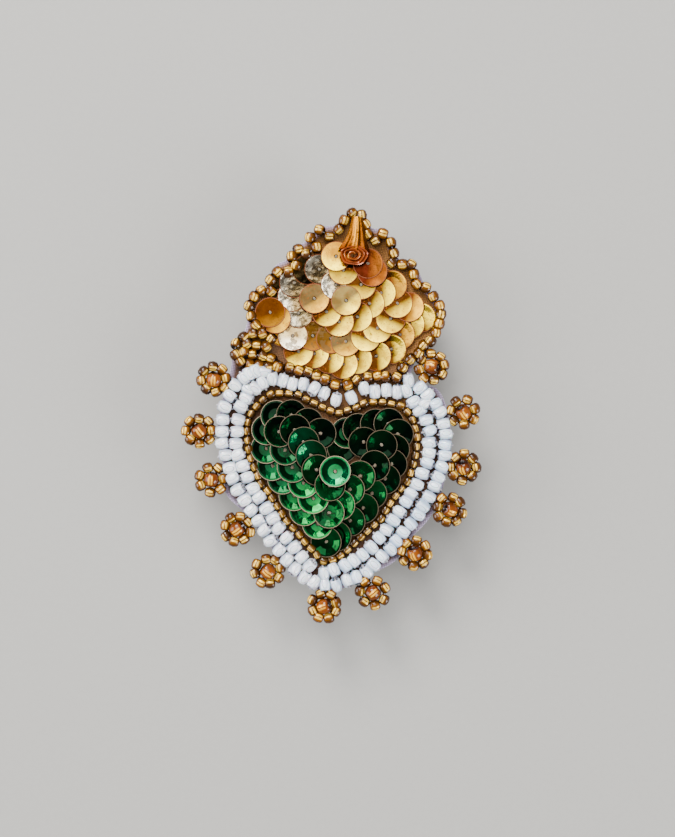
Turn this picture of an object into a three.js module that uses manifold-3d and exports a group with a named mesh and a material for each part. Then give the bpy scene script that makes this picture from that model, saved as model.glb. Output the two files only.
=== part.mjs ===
// Heart brooch: beads and sequins sewn on a stiff woven base with felt behind it, and a locking
// pin finding sewn on the back. Millimetres. +Z is the front, +Y points to the tip of the flame,
// X and Y are measured from the tip of the heart, Z from the back of the felt.
import * as THREE from 'three';
import { mergeVertices } from 'three/addons/utils/BufferGeometryUtils.js';
import Module from 'manifold-3d';

const wasm = await Module();
wasm.setup();

// Heart, along the middle of its bronze strand
const HEART_WIDTH = 33.2;
const HEART_HEIGHT = 31.8;

// Flame, along the middle of its gold strand. Its base dips between the lobes of the heart's band
const FLAME_WIDTH = 37.2;
const FLAME_HEIGHT = 33.4;
const FLAME_DIP = 1.7;

// Layers behind the beads
const FELT_THICKNESS = 1.2;
const BASE_THICKNESS = 0.6;
const FELT_INSET = 0.4;
const HEART_EDGE_MARGIN = 0.9;
const FLAME_EDGE_MARGIN = 0.2;
const SEAT_GAP = 0.05;

// Beads: along is the pitch on the thread, across lies in the plane of the brooch
const HEART_BEAD = 1.6;
const HEART_BEAD_PITCH = 1.85;
const FLAME_BEAD = 1.9;
const FLAME_BEAD_PITCH = 2.05;
const PEARL_ACROSS = 2.5;
const PEARL_HIGH = 2.0;
const PEARL_PITCH = 2.35;
const TOP_PEARL_PITCH = 1.8;
const BEAD_GAP = 0.12;
const BEAD_SIDES = 6;
const NECK_SHARE = 0.5;

// Where the stretches of beads start and end, in degrees round the middle of their outline
const INNER_PEARLS_RIGHT = [272, 48];
const TOP_PEARLS = [52, 128];
const INNER_PEARLS_LEFT = [132, 268];
const OUTER_PEARLS_RIGHT = [272, 49];
const OUTER_PEARLS_LEFT = [131, 268];
const FLAME_BASE_BEADS = [231, 310];
const FLAME_RIGHT_BEADS = [323, 87];
const FLAME_LEFT_BEADS = [94, 196];

// The patch of beads where the flame's left side meets the heart
const PATCH_RADIUS = 3.3;
const PATCH_INSET = 0.9;
const PATCH_UP = 5.4;
const PATCH_HOOK = 0.9;
const PATCH_TURN = [75, 330];
const PATCH_POINTS = 6;

// Florets round the heart: a ring of beads on a loop of thread with one bead raised in the middle
const FLORET_BEAD = 1.85;
const FLORET_BEADS = 8;
const FLORET_RING_RADIUS = 2.55;
const FLORET_SIDES = 5;
const FLORET_THREAD = 0.5;
const FLORET_DIRECTIONS = [10, 31, 50, 146, 166, 187, 214, 241, 272, 295, 323, 350];

// Sequins: cups with a raised rim, each lapping over the one before it on the thread
const GREEN_SEQUIN = 6.0;
const GREEN_THICKNESS = 0.55;
const GREEN_CUP = 0.5;
const GREEN_PITCH = 3.3;
const GREEN_CORE = 0.6;
const GOLD_SEQUIN = 5.9;
const GOLD_THICKNESS = 0.35;
const GOLD_CUP = 0.3;
const GOLD_PITCH = 3.3;
const GOLD_CORE = 2.2;
const SEQUIN_SIDES = 7;
const LAP_SHARE = 0.8;
const STEEPEST_LAP = 0.5;
const LEVEL_GAP = 0.1;

// Side tab on the flame's left
const TAB_UP = 12.0;
const TAB_LAP = 1.4;

// Rosette and folded tip at the top of the flame
const ROSETTE_DIAMETER = 5.6;
const ROSETTE_HIGH = 1.5;
const ROSETTE_BELOW_TOP = 8.1;
const FOLD_ROOT_WIDTH = 5.6;
const FOLD_TIP_WIDTH = 1.7;
const FOLD_LENGTH = 7.2;
const FOLD_HIGH = 1.1;

// Pin finding on the back
const PIN_BELOW_LOBES = 4.9;
const BAR_LENGTH = 32.0;
const BAR_WIDTH = 5.0;
const BAR_THICKNESS = 0.6;
const SEWING_HOLE_RADIUS = 0.7;
const SEWING_HOLE_SPACING = 7.5;
const STITCH_THICKNESS = 0.4;
const STITCH_WIDTH = 1.0;
const STITCH_CLEARANCE = 0.15;
const STEM_DROP = 5.8;
const STEM_RADIUS = 0.4;
const STEM_POINT_LENGTH = 3.5;
const STEM_PAST_CATCH = 0.4;
const EYE_WALL = 0.5;
const EYE_WIDTH = 1.2;
const EYE_SIDE_GAP = 0.2;
const HINGE_INSET = 3.0;
const EAR_WIDTH = 2.4;
const EAR_THICKNESS = 0.6;
const RIVET_RADIUS = 0.45;
const RIVET_HEAD_RADIUS = 0.85;
const RIVET_HEAD_THICKNESS = 0.4;
const RIVET_CLEARANCE = 0.12;
const CATCH_INSET = 3.5;
const CATCH_LENGTH = 3.4;
const CATCH_WALL = 0.55;
const CATCH_SLOT = 1.15;
const CATCH_FOOT_THICKNESS = 0.5;
const CATCH_POST_WIDTH = 1.6;
const ROLLER_BORE = 0.6;
const ROLLER_WALL = 0.5;
const ROLLER_CLEARANCE = 0.12;
const ROLLER_COLLAR_LENGTH = 0.5;
const ROLLER_COLLAR_RISE = 0.55;
const THUMB_REACH = 2.0;
const THUMB_WIDTH = 1.4;
const ROUND_STEPS = 8;

// Bend steps of the outlines
const OFFSET_SAMPLES = 240;
const OFFSET_SLACK = 0.02;
const HEART_EDGE_STEPS = 48;
const FLAME_EDGE_STEPS = 56;
const HUB_STEPS = 60;
const WELD = 0.0001;

const BASE_BOTTOM = FELT_THICKNESS + SEAT_GAP;
const BASE_TOP = BASE_BOTTOM + BASE_THICKNESS;
const SEW_LEVEL = BASE_TOP + SEAT_GAP;

const material = (color, roughness, metalness) => (
  new THREE.MeshStandardMaterial({ color, roughness, metalness })
);
const FELT = material(0xb9aec4, 0.95, 0);
const WOVEN = material(0xcabfd4, 0.85, 0);
const BRONZE_GLASS = material(0x9a7434, 0.25, 0.5);
const PEARL = material(0xe4e6ec, 0.25, 0);
const AMBER_GLASS = material(0xa8701c, 0.2, 0.4);
const GREEN_FOIL = material(0x0c6b3c, 0.25, 0.6);
const GOLD_FOIL = material(0xe0c076, 0.25, 0.9);
const AMBER_FOIL = material(0x8a3a0c, 0.2, 0.3);
const THREAD = material(0xd8d0de, 0.9, 0);
const STEEL = material(0xc4c6c8, 0.3, 1);

const brooch = new THREE.Group();

function place(name, geometry, finish) {
  const mesh = new THREE.Mesh(geometry, finish);
  mesh.name = name;
  brooch.add(mesh);
  return mesh;
}

// Closed meshes as solids, and back
function solidFrom(geometry) {
  const bare = geometry.clone();
  bare.deleteAttribute('normal');
  bare.deleteAttribute('uv');
  const merged = mergeVertices(bare, WELD);
  return new wasm.Manifold(new wasm.Mesh({
    numProp: 3,
    vertProperties: Float32Array.from(merged.attributes.position.array),
    triVerts: Uint32Array.from(merged.index.array),
  }));
}

function geometryFrom(solid) {
  const mesh = solid.getMesh();
  const geometry = new THREE.BufferGeometry();
  geometry.setAttribute('position', new THREE.BufferAttribute(mesh.vertProperties, 3));
  geometry.setIndex(new THREE.BufferAttribute(mesh.triVerts, 1));
  geometry.computeVertexNormals();
  return geometry;
}

function joined(geometries) {
  const solids = geometries.map(solidFrom);
  return solids.slice(1).reduce((whole, next) => whole.add(next), solids[0]);
}

function meshOf(points, faces) {
  const geometry = new THREE.BufferGeometry();
  geometry.setAttribute('position', new THREE.Float32BufferAttribute(
    points.flatMap((point) => point.toArray()), 3,
  ));
  geometry.setIndex(faces.flat());
  geometry.computeVertexNormals();
  return geometry;
}

// Extrusions: a profile drawn in X and Z grows along Y, a profile drawn in Y and Z grows along X
function alongY(shape, width) {
  const geometry = new THREE.ExtrudeGeometry(shape, {
    depth: width, bevelEnabled: false, curveSegments: ROUND_STEPS,
  });
  return geometry.translate(0, 0, -width / 2).rotateX(Math.PI / 2);
}

function alongX(shape, length) {
  const geometry = new THREE.ExtrudeGeometry(shape, {
    depth: length, bevelEnabled: false, curveSegments: ROUND_STEPS,
  });
  geometry.translate(0, 0, -length / 2);
  return geometry.applyMatrix4(new THREE.Matrix4().makeBasis(
    new THREE.Vector3(0, 1, 0), new THREE.Vector3(0, 0, 1), new THREE.Vector3(1, 0, 0),
  ));
}

// Curves in the plane of the brooch, anticlockwise, with points as shares of the drawn box
function outline(shares, width, height, lowY) {
  const points = shares.map(([x, y]) => new THREE.Vector3(x * width / 2, lowY + y * height, 0));
  return new THREE.CatmullRomCurve3(points, true, 'centripetal');
}

// The point on a closed curve's middle line that lies deepest inside it, and how deep it lies
function deepestPoint(curve, height, lowY) {
  const line = curve.getSpacedPoints(OFFSET_SAMPLES);
  let best = { depth: 0 };
  for (let step = 1; step < HUB_STEPS; step += 1) {
    const hub = new THREE.Vector3(0, lowY + height * step / HUB_STEPS, 0);
    const depth = Math.min(...line.map((other) => other.distanceTo(hub)));
    if (depth > best.depth) best = { hub, depth };
  }
  return best;
}

// The curve at a distance outside another, without the loops that a tight corner would leave
function offsetCurve(curve, distance) {
  const line = curve.getSpacedPoints(OFFSET_SAMPLES);
  const kept = [];
  for (let i = 0; i < OFFSET_SAMPLES; i += 1) {
    const share = i / OFFSET_SAMPLES;
    const heading = curve.getTangentAt(share);
    const outward = new THREE.Vector3(heading.y, -heading.x, 0).multiplyScalar(distance);
    const point = curve.getPointAt(share).add(outward);
    const nearest = Math.min(...line.map((other) => other.distanceTo(point)));
    if (nearest > Math.abs(distance) - OFFSET_SLACK) kept.push(point);
  }
  return new THREE.CatmullRomCurve3(kept, true, 'centripetal');
}

// Where a closed curve lies in a direction, in degrees, from its hub
function shareAt(curve, hub, direction) {
  const wanted = THREE.MathUtils.degToRad(direction);
  const samples = curve.getSpacedPoints(4 * OFFSET_SAMPLES);
  let best = 0;
  let least = Infinity;
  samples.forEach((point, i) => {
    const turn = Math.atan2(point.y - hub.y, point.x - hub.x) - wanted;
    const miss = Math.abs(Math.atan2(Math.sin(turn), Math.cos(turn)));
    if (miss < least) {
      least = miss;
      best = i / (4 * OFFSET_SAMPLES);
    }
  });
  return best % 1;
}

// A route is what beads and sequins are threaded on: its length, and its place and heading
function wholeRoute(curve) {
  return {
    closed: true,
    length: curve.getLength(),
    at: (share) => curve.getPointAt(share % 1),
    heading: (share) => curve.getTangentAt(share % 1),
  };
}

function stretchRoute(curve, hub, [from, to]) {
  const start = shareAt(curve, hub, from);
  const span = (shareAt(curve, hub, to) - start + 1) % 1;
  return {
    closed: false,
    length: curve.getLength() * span,
    at: (share) => curve.getPointAt((start + span * share) % 1),
    heading: (share) => curve.getTangentAt((start + span * share) % 1),
  };
}

function openRoute(points) {
  const curve = new THREE.CatmullRomCurve3(
    points.map(([x, y]) => new THREE.Vector3(x, y, 0)), false, 'centripetal',
  );
  return {
    closed: false,
    length: curve.getLength(),
    at: (share) => curve.getPointAt(share),
    heading: (share) => curve.getTangentAt(share),
  };
}

// Beads on their thread as one body: a section that swells at each bead and narrows between two
function beadStrand(route, bead, seat, sides = BEAD_SIDES) {
  const count = bead.count ?? Math.max(1, Math.round(route.length / bead.pitch));
  const rings = route.closed ? 2 * count : 2 * count + 1;
  const points = [];
  const faces = [];
  for (let ring = 0; ring < rings; ring += 1) {
    const share = ring / (2 * count);
    const middle = route.at(share);
    const heading = route.heading(share);
    const swell = ring % 2 === 1 ? 1 : NECK_SHARE;
    for (let k = 0; k < sides; k += 1) {
      const angle = -Math.PI / 2 + (2 * k + 1) * Math.PI / sides;
      const across = swell * bead.across / 2 * Math.cos(angle);
      const up = swell * bead.high / 2 * Math.sin(angle) / Math.cos(Math.PI / sides);
      points.push(new THREE.Vector3(
        middle.x + heading.y * across, middle.y - heading.x * across, seat + bead.high / 2 + up,
      ));
    }
  }
  const links = route.closed ? rings : rings - 1;
  for (let ring = 0; ring < links; ring += 1) {
    const next = (ring + 1) % rings;
    for (let k = 0; k < sides; k += 1) {
      const far = (k + 1) % sides;
      const [near, nearFar] = [ring * sides + k, ring * sides + far];
      const [onward, onwardFar] = [next * sides + k, next * sides + far];
      faces.push([near, onwardFar, nearFar], [near, onward, onwardFar]);
    }
  }
  if (!route.closed) {
    const last = (rings - 1) * sides;
    for (let k = 1; k < sides - 1; k += 1) {
      faces.push([0, k, k + 1], [last, last + k + 1, last + k]);
    }
  }
  return meshOf(points, faces);
}

// One cup sequin round the origin: its rim in the XY plane, its middle lower by the cup
function sequinCup(sequin) {
  const points = [];
  const faces = [];
  const half = sequin.thickness / 2;
  for (let k = 0; k < SEQUIN_SIDES; k += 1) {
    const angle = 2 * Math.PI * k / SEQUIN_SIDES;
    const x = sequin.diameter / 2 * Math.cos(angle);
    const y = sequin.diameter / 2 * Math.sin(angle);
    points.push(new THREE.Vector3(x, y, half), new THREE.Vector3(x, y, -half));
  }
  const top = points.length;
  points.push(new THREE.Vector3(0, 0, half - sequin.cup));
  points.push(new THREE.Vector3(0, 0, -half - sequin.cup));
  for (let k = 0; k < SEQUIN_SIDES; k += 1) {
    const here = 2 * k;
    const next = 2 * ((k + 1) % SEQUIN_SIDES);
    faces.push([top, here, next], [top + 1, next + 1, here + 1]);
    faces.push([here, here + 1, next + 1], [here, next + 1, next]);
  }
  return meshOf(points, faces);
}

// How far a lapped sequin leans, and how high a row of them stands
function leanOf(sequin, spacing) {
  return Math.asin(Math.min(STEEPEST_LAP, LAP_SHARE * sequin.thickness / spacing));
}

function rowHigh(sequin) {
  const rise = sequin.diameter / 2 * Math.sin(leanOf(sequin, sequin.pitch));
  return sequin.thickness + rise + Math.max(rise, sequin.cup);
}

function sequinRow(route, sequin, seat) {
  const gaps = Math.max(1, Math.ceil(route.length / sequin.pitch));
  const count = route.closed ? gaps : gaps + 1;
  const lean = leanOf(sequin, route.length / gaps);
  const rise = sequin.diameter / 2 * Math.sin(lean);
  const middle = seat + sequin.thickness / 2 + Math.max(rise, sequin.cup);
  const cups = [];
  for (let i = 0; i < count; i += 1) {
    const share = i / gaps;
    const heading = route.heading(share);
    const along = new THREE.Vector3(
      heading.x * Math.cos(lean), heading.y * Math.cos(lean), -Math.sin(lean),
    );
    const side = new THREE.Vector3(-heading.y, heading.x, 0);
    const face = new THREE.Vector3().crossVectors(along, side);
    const centre = route.at(share);
    const turn = new THREE.Matrix4().makeBasis(along, side, face);
    turn.setPosition(centre.x, centre.y, middle);
    cups.push(sequinCup(sequin).applyMatrix4(turn));
  }
  return geometryFrom(joined(cups));
}

// Outlines, as shares of the half width and of the height
const HEART_OUTLINE = outline([
  [0.04, 0.0], [0.2, 0.05], [0.38, 0.14], [0.71, 0.36], [0.93, 0.58], [0.99, 0.75], [0.95, 0.88],
  [0.77, 0.985], [0.52, 1.0], [0.28, 0.955], [0.05, 0.91], [-0.12, 0.925], [-0.4, 0.98],
  [-0.62, 1.0], [-0.86, 0.94], [-1.0, 0.79], [-0.93, 0.59], [-0.76, 0.43], [-0.52, 0.28],
  [-0.28, 0.155], [-0.1, 0.055],
], HEART_WIDTH, HEART_HEIGHT, 0);
const HEART_MIDDLE = deepestPoint(HEART_OUTLINE, HEART_HEIGHT, 0);

// The band of white beads, the florets and the edge of the cloth, measured out from the strand
const PEARL_INNER = HEART_BEAD / 2 + BEAD_GAP + PEARL_ACROSS / 2;
const PEARL_OUTER = PEARL_INNER + PEARL_ACROSS + BEAD_GAP;
const HEART_EDGE = PEARL_OUTER + PEARL_ACROSS / 2 + HEART_EDGE_MARGIN;
const FLORET_REACH = FLORET_RING_RADIUS + FLORET_BEAD / 2;
const FLORET_LINE = PEARL_OUTER + PEARL_ACROSS / 2 + BEAD_GAP + FLORET_REACH;

// The flame stands on the single row of white beads over the lobes
const BAND_TOP_Y = HEART_HEIGHT + PEARL_INNER + PEARL_ACROSS / 2;
const FLAME_BASE_Y = BAND_TOP_Y + FLAME_BEAD / 2 - FLAME_DIP;
const FLAME_EDGE = FLAME_BEAD / 2 + FLAME_EDGE_MARGIN;
const FLAME_OUTLINE = outline([
  [-0.49, 0.06], [-0.23, 0.045], [0.0, 0.0], [0.2, 0.03], [0.46, 0.075], [0.69, 0.17],
  [0.785, 0.24], [0.91, 0.32], [1.0, 0.43], [0.97, 0.525], [0.83, 0.615], [0.7, 0.65],
  [0.63, 0.73], [0.45, 0.775], [0.36, 0.855], [0.19, 0.905], [0.03, 1.0], [-0.11, 0.945],
  [-0.24, 0.875], [-0.39, 0.845], [-0.52, 0.755], [-0.61, 0.665], [-0.74, 0.62], [-0.81, 0.525],
  [-0.95, 0.475], [-1.0, 0.4], [-0.93, 0.315], [-0.84, 0.2], [-0.68, 0.05],
], FLAME_WIDTH, FLAME_HEIGHT, FLAME_BASE_Y);
const FLAME_MIDDLE = deepestPoint(FLAME_OUTLINE, FLAME_HEIGHT, FLAME_BASE_Y);
const PATCH_CENTRE = new THREE.Vector3(-FLAME_WIDTH / 2 + PATCH_INSET, FLAME_BASE_Y + PATCH_UP, 0);

// Felt and woven base: heart, flame and patch in one sheet, closed where the three meet
function sheet(inset, thickness, low) {
  const grown = (curve, distance, steps) => (
    offsetCurve(curve, distance - inset).getSpacedPoints(steps).slice(0, -1)
  );
  const patch = new THREE.Path();
  patch.absarc(
    PATCH_CENTRE.x, PATCH_CENTRE.y, PATCH_RADIUS + FLAME_EDGE - inset, 0, 2 * Math.PI, false,
  );
  const parts = [
    grown(HEART_OUTLINE, HEART_EDGE, HEART_EDGE_STEPS),
    grown(FLAME_OUTLINE, FLAME_EDGE, FLAME_EDGE_STEPS),
    patch.getPoints(ROUND_STEPS).slice(0, -1),
  ].map((points) => points.map(({ x, y }) => [x, y]));
  const whole = new wasm.CrossSection(parts, 'NonZero');
  const [edge] = whole.toPolygons().sort((one, other) => other.length - one.length);
  const cloth = new wasm.CrossSection([edge]).extrude(thickness);
  return geometryFrom(cloth).translate(0, 0, low);
}

place('felt_backing', sheet(FELT_INSET, FELT_THICKNESS, 0), FELT);
place('woven_base', sheet(0, BASE_THICKNESS, BASE_BOTTOM), WOVEN);

// Heart outline
const heartBead = { pitch: HEART_BEAD_PITCH, across: HEART_BEAD, high: HEART_BEAD };
const heartStrand = beadStrand(wholeRoute(HEART_OUTLINE), heartBead, SEW_LEVEL);
place('heart_outline_strand', heartStrand, BRONZE_GLASS);

// White band: two rows at the sides and one close row along the top
const pearl = { pitch: PEARL_PITCH, across: PEARL_ACROSS, high: PEARL_HIGH };
const topPearl = { ...pearl, pitch: TOP_PEARL_PITCH };
const innerLine = offsetCurve(HEART_OUTLINE, PEARL_INNER);
const outerLine = offsetCurve(HEART_OUTLINE, PEARL_OUTER);
const pearlRows = [
  ['pearl_row_inner_right', innerLine, INNER_PEARLS_RIGHT, pearl],
  ['pearl_row_top', innerLine, TOP_PEARLS, topPearl],
  ['pearl_row_inner_left', innerLine, INNER_PEARLS_LEFT, pearl],
  ['pearl_row_outer_right', outerLine, OUTER_PEARLS_RIGHT, pearl],
  ['pearl_row_outer_left', outerLine, OUTER_PEARLS_LEFT, pearl],
];
pearlRows.forEach(([name, line, ends, bead]) => {
  place(name, beadStrand(stretchRoute(line, HEART_MIDDLE.hub, ends), bead, SEW_LEVEL), PEARL);
});

// Florets
function floret(centre) {
  const ring = {
    closed: true,
    at: (share) => new THREE.Vector3(
      centre.x + FLORET_RING_RADIUS * Math.cos(2 * Math.PI * share),
      centre.y + FLORET_RING_RADIUS * Math.sin(2 * Math.PI * share), 0,
    ),
    heading: (share) => new THREE.Vector3(
      -Math.sin(2 * Math.PI * share), Math.cos(2 * Math.PI * share), 0,
    ),
  };
  const bead = { count: FLORET_BEADS, across: FLORET_BEAD, high: FLORET_BEAD };
  const mid = SEW_LEVEL + FLORET_BEAD / 2;
  const thread = new THREE.BoxGeometry(2 * FLORET_RING_RADIUS, FLORET_THREAD, FLORET_THREAD)
    .translate(centre.x, centre.y, mid);
  const raised = new THREE.SphereGeometry(FLORET_BEAD / 2, BEAD_SIDES, BEAD_SIDES - 2)
    .rotateX(Math.PI / 2).translate(centre.x, centre.y, mid + FLORET_BEAD / 2);
  return geometryFrom(joined([beadStrand(ring, bead, SEW_LEVEL, FLORET_SIDES), thread, raised]));
}

const floretLine = offsetCurve(HEART_OUTLINE, FLORET_LINE);
FLORET_DIRECTIONS.forEach((direction, i) => {
  const centre = floretLine.getPointAt(shareAt(floretLine, HEART_MIDDLE.hub, direction));
  place(`floret_${String(i + 1).padStart(2, '0')}`, floret(centre), AMBER_GLASS);
});

// Green sequins: three turns from the heart's strand in to its middle
const greenSequin = {
  diameter: GREEN_SEQUIN, thickness: GREEN_THICKNESS, cup: GREEN_CUP, pitch: GREEN_PITCH,
};
const GREEN_LEVEL = rowHigh(greenSequin) + LEVEL_GAP;
const greenInset = HEART_BEAD / 2 + BEAD_GAP + GREEN_SEQUIN / 2;
const greenTurns = ['green_turn_outer', 'green_turn_middle', 'green_turn_centre'];
const greenStep = (HEART_MIDDLE.depth - greenInset - GREEN_CORE) / (greenTurns.length - 1);
greenTurns.forEach((name, turn) => {
  const line = offsetCurve(HEART_OUTLINE, -(greenInset + turn * greenStep));
  const seat = SEW_LEVEL + turn * GREEN_LEVEL;
  place(name, sequinRow(wholeRoute(line), greenSequin, seat), GREEN_FOIL);
});

// Gold sequins: three rows from the flame's strand in to its middle
const goldSequin = {
  diameter: GOLD_SEQUIN, thickness: GOLD_THICKNESS, cup: GOLD_CUP, pitch: GOLD_PITCH,
};
const GOLD_LEVEL = rowHigh(goldSequin) + LEVEL_GAP;
const goldInset = FLAME_BEAD / 2 + BEAD_GAP + GOLD_SEQUIN / 2;
const goldRows = ['gold_row_outer', 'gold_row_middle', 'gold_row_inner'];
const goldStep = (FLAME_MIDDLE.depth - goldInset - GOLD_CORE) / (goldRows.length - 1);
goldRows.forEach((name, row) => {
  const line = offsetCurve(FLAME_OUTLINE, -(goldInset + row * goldStep));
  const seat = SEW_LEVEL + row * GOLD_LEVEL;
  place(name, sequinRow(wholeRoute(line), goldSequin, seat), GOLD_FOIL);
});

// Flame outline in three strands, and the patch as a hooked strand of its own
const flameBead = { pitch: FLAME_BEAD_PITCH, across: FLAME_BEAD, high: FLAME_BEAD };
const flameStrands = [
  ['flame_strand_base', FLAME_BASE_BEADS],
  ['flame_strand_right', FLAME_RIGHT_BEADS],
  ['flame_strand_left', FLAME_LEFT_BEADS],
];
flameStrands.forEach(([name, ends]) => {
  const route = stretchRoute(FLAME_OUTLINE, FLAME_MIDDLE.hub, ends);
  place(name, beadStrand(route, flameBead, SEW_LEVEL), AMBER_GLASS);
});

// The patch's own strand: most of a ring, then a hook back through its middle
const patchRingRadius = PATCH_RADIUS - FLAME_BEAD / 4;
const patchLine = Array.from({ length: PATCH_POINTS }, (_, i) => {
  const [from, to] = PATCH_TURN;
  const angle = THREE.MathUtils.degToRad(from + (to - from) * i / (PATCH_POINTS - 1));
  return [
    PATCH_CENTRE.x + patchRingRadius * Math.cos(angle),
    PATCH_CENTRE.y + patchRingRadius * Math.sin(angle),
  ];
});
patchLine.push([PATCH_CENTRE.x + PATCH_HOOK, PATCH_CENTRE.y + PATCH_HOOK / 2]);
patchLine.push([PATCH_CENTRE.x - PATCH_HOOK / 2, PATCH_CENTRE.y + PATCH_HOOK / 2]);
const patchStrand = beadStrand(openRoute(patchLine), flameBead, SEW_LEVEL);
place('flame_patch_strand', patchStrand, AMBER_GLASS);

// Side tab: a pair of lapped amber sequins over the outer row
const tabX = -FLAME_WIDTH / 2 + goldInset;
const tabY = FLAME_BASE_Y + TAB_UP;
const tabLine = openRoute([[tabX - TAB_LAP / 2, tabY + TAB_LAP], [tabX, tabY]]);
const tabSeat = SEW_LEVEL + 2 * GOLD_LEVEL;
place('side_tab_sequins', sequinRow(tabLine, goldSequin, tabSeat), AMBER_FOIL);

// Folded tip: a flattened cone that narrows towards the tip, ridged along its middle
const rosetteY = FLAME_BASE_Y + FLAME_HEIGHT - ROSETTE_BELOW_TOP;
const foldSeat = SEW_LEVEL + Math.max(FLAME_BEAD, 2 * GOLD_LEVEL) + LEVEL_GAP;
function fold() {
  const section = (y, width) => [
    new THREE.Vector3(-width / 2, y, foldSeat),
    new THREE.Vector3(width / 2, y, foldSeat),
    new THREE.Vector3(0, y, foldSeat + FOLD_HIGH),
  ];
  const points = [
    ...section(rosetteY, FOLD_ROOT_WIDTH), ...section(rosetteY + FOLD_LENGTH, FOLD_TIP_WIDTH),
  ];
  return meshOf(points, [
    [0, 1, 2], [3, 5, 4], [0, 3, 4], [0, 4, 1], [1, 4, 5], [1, 5, 2], [2, 5, 3], [2, 3, 0],
  ]);
}
place('folded_tip', fold(), AMBER_FOIL);

// Rosette: a coiled sequin that stands on the fold's root
const rosetteSeat = foldSeat + FOLD_HIGH + LEVEL_GAP;
const rosette = new THREE.LatheGeometry([
  [0, 0], [ROSETTE_DIAMETER / 2, 0], [ROSETTE_DIAMETER / 2, GOLD_THICKNESS],
  [ROSETTE_DIAMETER / 4, ROSETTE_HIGH], [0, ROSETTE_HIGH],
].map(([radius, up]) => new THREE.Vector2(radius, up)), ROUND_STEPS);
rosette.rotateX(Math.PI / 2).translate(0, rosetteY, rosetteSeat);
place('tip_rosette', rosette, AMBER_FOIL);

// Finding: everything below is placed from the bar, which lies against the felt
const pinY = HEART_HEIGHT - PIN_BELOW_LOBES;
const barTop = -SEAT_GAP;
const barBottom = barTop - BAR_THICKNESS;
const axisZ = -STEM_DROP;
const hingeX = -BAR_LENGTH / 2 + HINGE_INSET;
const catchX = BAR_LENGTH / 2 - CATCH_INSET;
const earRoundness = EAR_WIDTH / 2;
const earOffset = EYE_WIDTH / 2 + EYE_SIDE_GAP + EAR_THICKNESS / 2;

function box(sizeX, sizeY, sizeZ, x, y, z) {
  return new THREE.BoxGeometry(sizeX, sizeY, sizeZ).translate(x, y, z);
}

function ear(side) {
  const shape = new THREE.Shape();
  shape.moveTo(-earRoundness, barBottom + BAR_THICKNESS / 2);
  shape.lineTo(-earRoundness, axisZ);
  shape.absarc(0, axisZ, earRoundness, Math.PI, 2 * Math.PI, false);
  shape.lineTo(earRoundness, barBottom + BAR_THICKNESS / 2);
  const hole = new THREE.Path();
  hole.absarc(0, axisZ, RIVET_RADIUS + RIVET_CLEARANCE, 0, 2 * Math.PI, true);
  shape.holes.push(hole);
  return alongY(shape, EAR_THICKNESS).translate(hingeX, pinY + side * earOffset, 0);
}

const barMiddle = (barTop + barBottom) / 2;
const bar = box(BAR_LENGTH, BAR_WIDTH, BAR_THICKNESS, 0, pinY, barMiddle);
const drill = 3 * BAR_THICKNESS;
const holes = [-1, 0, 1].map((step) => (
  new THREE.CylinderGeometry(SEWING_HOLE_RADIUS, SEWING_HOLE_RADIUS, drill, ROUND_STEPS)
    .rotateX(Math.PI / 2)
    .translate(step * SEWING_HOLE_SPACING, pinY, barMiddle)
));
const barWithEars = joined([bar, ear(-1), ear(1)]).subtract(joined(holes));
place('pin_bar', geometryFrom(barWithEars), STEEL);

// Stitches that hold the bar to the felt, one across each sewing hole
function stitch() {
  const inner = BAR_WIDTH / 2 + STITCH_CLEARANCE;
  const outer = inner + STITCH_THICKNESS;
  const high = -SEAT_GAP;
  const under = barBottom - SEAT_GAP;
  return alongX(new THREE.Shape([
    new THREE.Vector2(-outer, high), new THREE.Vector2(-outer, under - STITCH_THICKNESS),
    new THREE.Vector2(outer, under - STITCH_THICKNESS), new THREE.Vector2(outer, high),
    new THREE.Vector2(inner, high), new THREE.Vector2(inner, under),
    new THREE.Vector2(-inner, under), new THREE.Vector2(-inner, high),
  ]), STITCH_WIDTH);
}

['stitch_hinge_end', 'stitch_middle', 'stitch_catch_end'].forEach((name, i) => {
  place(name, stitch().translate((i - 1) * SEWING_HOLE_SPACING, pinY, 0), THREAD);
});

// Hinge rivet: a shank through both ears with a head outside each
const rivetGrip = earOffset + EAR_THICKNESS / 2 + SEAT_GAP;
const rivetEnd = rivetGrip + RIVET_HEAD_THICKNESS;
const rivetProfile = [
  [0, -rivetEnd], [RIVET_HEAD_RADIUS, -rivetEnd], [RIVET_HEAD_RADIUS, -rivetGrip],
  [RIVET_RADIUS, -rivetGrip], [RIVET_RADIUS, rivetGrip], [RIVET_HEAD_RADIUS, rivetGrip],
  [RIVET_HEAD_RADIUS, rivetEnd], [0, rivetEnd],
].map(([radius, along]) => new THREE.Vector2(radius, along));
const rivet = new THREE.LatheGeometry(rivetProfile, ROUND_STEPS);
place('hinge_rivet', rivet.translate(hingeX, pinY, axisZ), STEEL);

// Pin stem: an eye round the rivet and a wire with a sharp point that ends inside the catch
const eyeBore = RIVET_RADIUS + RIVET_CLEARANCE;
const eyeRadius = eyeBore + EYE_WALL;
const stemLength = catchX - hingeX + CATCH_LENGTH / 2 + STEM_PAST_CATCH;
const stemProfile = [
  [0, eyeBore + EYE_WALL / 2], [STEM_RADIUS, eyeBore + EYE_WALL / 2],
  [STEM_RADIUS, stemLength - STEM_POINT_LENGTH], [0, stemLength],
].map(([radius, along]) => new THREE.Vector2(radius, along));
const wire = new THREE.LatheGeometry(stemProfile, ROUND_STEPS).rotateZ(-Math.PI / 2);
const eyeShape = new THREE.Shape();
eyeShape.absarc(0, 0, eyeRadius, 0, 2 * Math.PI, false);
const eyeHole = new THREE.Path();
eyeHole.absarc(0, 0, eyeBore, 0, 2 * Math.PI, true);
eyeShape.holes.push(eyeHole);
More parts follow.
